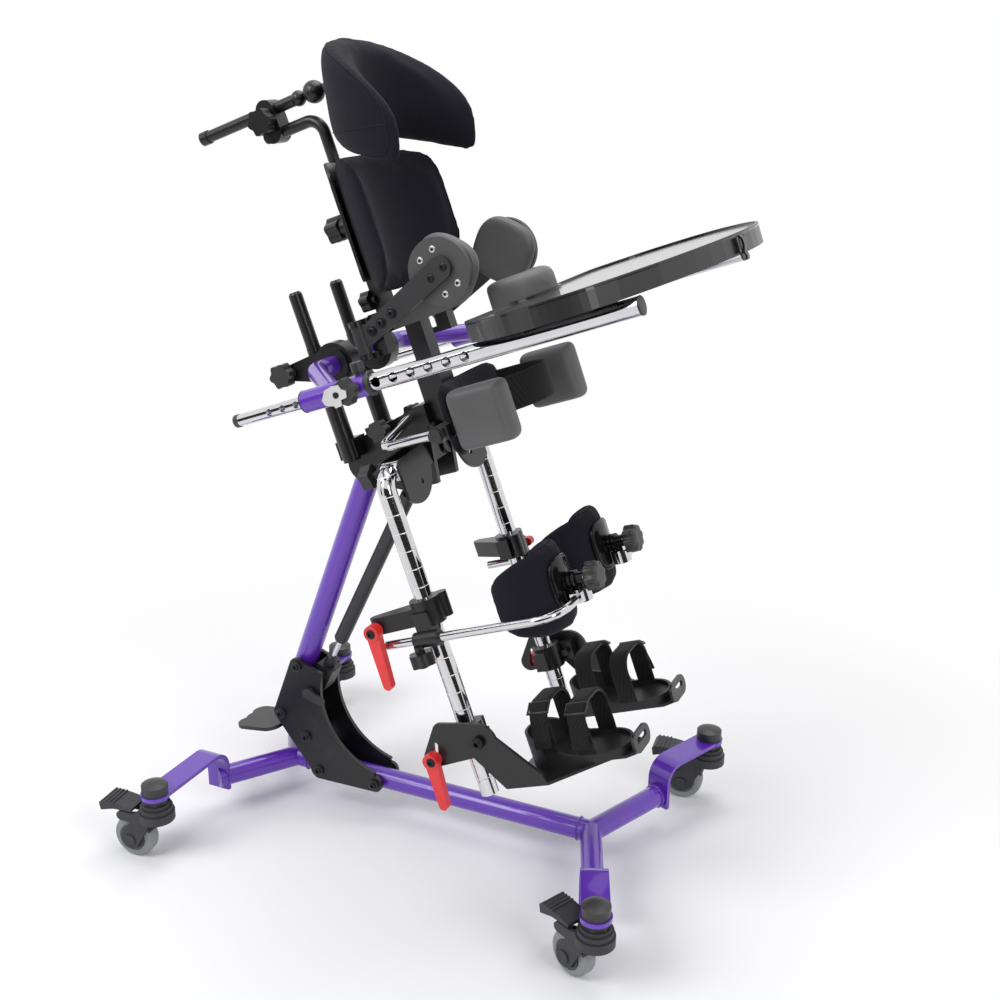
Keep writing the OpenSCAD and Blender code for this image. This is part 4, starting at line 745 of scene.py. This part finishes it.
for side, name in SIDES:
    left = side > 0
    dress(black_metal, "knee_clamp_" + name, "foot_clamp_" + name, "foot_plate_" + name)
    dress(red_lever, "knee_lever_" + name, "foot_lever_" + name)
    rest = "knee_rest_" + name
    y = side * KNEE_Y
    shell_place = (Matrix.Translation((KNEE_U, -KNEE_Y, KNEE_V)) @ FACING_BACK
                   @ Matrix.Translation((0, 0, -SHELL_BEND)))
    points, faces, rim = pad_points(width=60, height=66, front=1.8, back=2.0, corner=3.4,
                                    bend=SHELL_BEND, pinch=0.0, soft=12.0)
    shell = mesh_piece("knee_shell_" + name, placed(points, shell_place, left), turned(faces, left),
                       shell_gloss, rest)
    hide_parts("knee_cup_" + name)
    seam("knee_shell_bead_" + name, placed(rim, shell_place, left), 0.0021, shell_gloss, rest,
         sides=10)
    turned_piece("knee_barrel_" + name, body_point(BARREL_U, y, KNEE_V), FORWARD,
                 [(0, 12.4), (2.6, 12.4), (3.2, 9.4), (5.2, 9.4), (5.8, 12.0), (9.0, 12.0), (9.6, 9.4),
                  (11.6, 9.4), (12.2, 12.0), (15.6, 12.0), (16.4, 8.4), (30, 8.4)],
                 shell_gloss, rest)
    turned_piece("knee_washer_" + name, body_point(WASHER_U, y, KNEE_V), FORWARD,
                 [(0, 10.4), (1.4, 10.4), (1.6, 9.8)], chrome, rest)
    turned_piece("knee_knob_" + name, body_point(KNOB_U, y, KNEE_V), FORWARD,
                 [(0, 15.5), (1.6, 18.6), (3.4, 20.2), (16, 19.6), (18.6, 17.6), (19.8, 14), (19.4, 7),
                  (19.4, 0.3)],
                 knob_plastic, rest, lobes=8, around=96)
    turned_piece("knee_pivot_" + name, body_point(PIVOT_U, y, PIVOT_V), UPWARD,
                 [(0, 4.0), (0.8, 5.0), (25.2, 5.0), (26, 4.2)], black_oxide, rest)
    knee_place = (Matrix.Translation((KNEE_U, -KNEE_Y, KNEE_PAD_V)) @ FACING_BACK
                  @ Matrix.Translation((0, 0, -KNEE_BEND)))
    points, faces, rim = pad_points(width=208, height=123, front=16, back=10.5, corner=4.4,
                                    bend=KNEE_BEND, taper=0.36)
    pad = mesh_piece("knee_cushion_" + name, placed(points, knee_place, left), turned(faces, left),
                     knit, rest)
    pad = puffed(pad, KNEE_SWELL)
    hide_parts("knee_pad_" + name)
    line = laid_on(pad, placed(rim, knee_place, left))
    seam("knee_seam_" + name, line, SEAM_RADIUS, knit, rest)
    for screw, (u, y, v), head, body in (("knee_pin_", KNEE_PIN, PIN_HEAD, "knee_lock_"),
                                         ("foot_pin_", FOOT_PIN, PIN_HEAD, "foot_lock_"),
                                         ("foot_bolt_", FOOT_BOLT, BOLT_HEAD, "foot_")):
        socket_screw(screw + name, body_point(u, side * y, v), (0, side, 0), *head,
                     black_oxide, body + name, "black_metal")


# Foot trays: moulded black plastic with a heel cup, and two webbing straps over each foot.
# A moulded loop lies on each strap's shoulder, and the strap ends in a loose tail.
FOOT_Y, SOLE_V = 80, -432
ARCH_HALF, ARCH_ROUND = 38, 24
STRAPS = ((194, 75.5), (248, 67.5))
STRAP_BAND, TAIL_BAND = (0.0262, 0.0042), (0.0250, 0.0022)
TAIL_OUT, LOOP_OUT, LOOP_HALF = 3.2, 5.6, 15.4
tray_black, at = start_finish("foot_plastic", {"IOR": 1.47})
grain = at.noise(600.0, 3.0)
close_finish(tray_black, {
    "Base Color": at.noise(25.0, 4.0).tint((0.008, 0.008, 0.0085, 1), (0.016, 0.016, 0.017, 1)),
    "Roughness": 0.38 + 0.16 * grain,
    "Normal": grain.bump(0.12, 0.0004)})


def strap_arch(u, high, outward, first, last):
    """Points first to last of a foot strap's arch over its top, grown outward, in millimetres."""
    half, r, top = ARCH_HALF + outward, ARCH_ROUND + outward, SOLE_V + high
    turns = np.linspace(0, math.pi / 2, 12)
    rise = [(-half + r - r * math.cos(a), top - r + r * math.sin(a)) for a in turns]
    fall = [(half - r + r * math.sin(a), top - r + r * math.cos(a)) for a in turns]
    line = [(-half, SOLE_V)] + rise + fall + [(half, SOLE_V)]
    return [(u, y, v) for y, v in line][first:last]


for side, name in SIDES:
    dress(tray_black, "foot_tray_" + name)
    body = "foot_rest_" + name
    for k, (u, high) in enumerate(STRAPS):
        arch = [body_point(a, side * FOOT_Y + b, c) for a, b, c in strap_arch(u, high, 0.0, 0, 26)]
        band(f"foot_strap_{name}_{k}", arch, [FORWARD] * len(arch), *STRAP_BAND, body)
        over = [body_point(a, side * (FOOT_Y + b), c)
                for a, b, c in strap_arch(u, high, TAIL_OUT, 16, 25)]
        over += [body_point(u, side * (FOOT_Y + out), SOLE_V + high - drop)
                 for out, drop in ((47, 44), (50, 56))]
        band(f"foot_strap_tail_{name}_{k}", over, [FORWARD] * len(over), *TAIL_BAND, body)
        top, *_, foot = strap_arch(u, high, LOOP_OUT, 15, 20)
        loop = [body_point(u + a, side * (FOOT_Y + y), v) for a, (_, y, v) in (
            (-LOOP_HALF, top), (LOOP_HALF, top), (LOOP_HALF, foot), (-LOOP_HALF, foot))]
        points, faces = sweep(loop, [UPWARD] * 4, round_profile(0.0021, 8), closed=True)
        mesh_piece(f"strap_loop_{name}_{k}", points, faces, knob_plastic, body)


# Studio: a pale floor that fades to white, soft daylight from all round, three soft lamps
# and dark cards that stand in for the unlit room behind the camera.
FLOOR_HALF, FLOOR_Z = 14.0, -0.0005
CARD_LOW, CARD_HIGH = 0.05, 2.2


def seen_rays(tree):
    """One for rays from the camera, off a gloss or through glass, and none for the rest."""
    seen, glossy, clear = (Shade(tree, None).node("ShaderNodeLightPath", {}, {}, out=f"Is {kind} Ray")
                           for kind in ("Camera", "Glossy", "Transmission"))
    return seen.most(glossy.most(clear))


def flat_sheet(name, corners, material):
    made = bpy.data.meshes.new(name)
    made.from_pydata([tuple(c) for c in corners], [], [(0, 1, 2, 3)])
    made.materials.append(material)
    sheet = bpy.data.objects.new(name, made)
    bpy.context.collection.objects.link(sheet)
    return sheet


world = bpy.data.worlds.new("studio")
bpy.context.scene.world = world
world.use_nodes = True
back_light = world.node_tree.nodes["Background"]
daylight = 0.42 + 0.58 * seen_rays(world.node_tree)
world.node_tree.links.new(daylight.socket, back_light.inputs["Strength"])
back_light.inputs["Color"].default_value = (1, 1, 1, 1)

floor_paint, at = start_finish("floor_paint", {"Roughness": 0.9, "Specular IOR Level": 0.1})
close_finish(floor_paint, {
    "Base Color": at.noise(2.0, 2.0).tint((0.88, 0.88, 0.90, 1), (0.90, 0.90, 0.91, 1))})
reach = at.node("ShaderNodeVectorMath", {"operation": "LENGTH"}, {0: at}, out=1)
white = at.node("ShaderNodeEmission", {}, {"Color": (1, 1, 1, 1), "Strength": 1.0})
lit = Shade(at.tree, at.tree.nodes["Principled BSDF"].outputs[0])
fade = reach.ramp(0.55, 1.25) * seen_rays(at.tree)
ground = at.node("ShaderNodeMixShader", {}, {0: fade, 1: lit, 2: white})
at.tree.links.new(ground.socket, at.tree.nodes["Material Output"].inputs["Surface"])
floor = flat_sheet("floor", [(x * FLOOR_HALF, y * FLOOR_HALF, FLOOR_Z)
                             for x, y in ((-1, -1), (1, -1), (1, 1), (-1, 1))], floor_paint)


def soft_lamp(name, place, aim, power, wide, high):
    lamp = bpy.data.lights.new(name, "AREA")
    lamp.shape, lamp.size, lamp.size_y, lamp.energy = "RECTANGLE", wide, high, power
    made = bpy.data.objects.new(name, lamp)
    made.location = place
    made.rotation_euler = (Vector(aim) - Vector(place)).to_track_quat("-Z", "Y").to_euler()
    bpy.context.collection.objects.link(made)


soft_lamp("key_lamp", (-1.6, -2.2, 2.6), (0, 0, 0.5), 62, 1.8, 1.8)
soft_lamp("fill_lamp", (2.6, -1.2, 1.9), (0, 0, 0.5), 34, 1.6, 1.6)
soft_lamp("top_lamp", (0.2, 0.6, 3.2), (0, 0, 0.4), 48, 2.2, 2.2)

card_black, _ = start_finish("card_black", {"Base Color": (0.022, 0.017, 0.014, 1), "Roughness": 1.0})
for name, x, y, wide in (("card_front", 1.5, -3.0, 2.6), ("card_left", -1.3, -1.5, 0.3),
                         ("card_right", 1.9, -0.6, 0.4)):
    away = Vector((x, y, 0)).normalized()
    across = Vector((-away.y, away.x, 0)) * wide
    low, high = Vector((x, y, CARD_LOW)), Vector((x, y, CARD_HIGH))
    card = flat_sheet(name, [low - across, low + across, high + across, high - across], card_black)
    card.visible_camera = card.visible_diffuse = card.visible_shadow = False


# Camera: a long normal lens held a little above the tray, looking down at the frame
# from its front right.
lens = bpy.data.cameras.new("camera")
lens.sensor_width, lens.lens = 36.0, 47.6
camera = bpy.data.objects.new("camera", lens)
heading, tilt, roll = (math.radians(a) for a in (24.99, 70.59, 0.22))
camera.matrix_world = (Matrix.Translation((0.81571, -1.55145, 1.14584)) @ Matrix.Rotation(heading, 4, "Z")
                       @ Matrix.Rotation(tilt, 4, "X") @ Matrix.Rotation(roll, 4, "Z"))
bpy.context.collection.objects.link(camera)
bpy.context.scene.camera = camera
bpy.context.scene.view_settings.view_transform = "Standard"
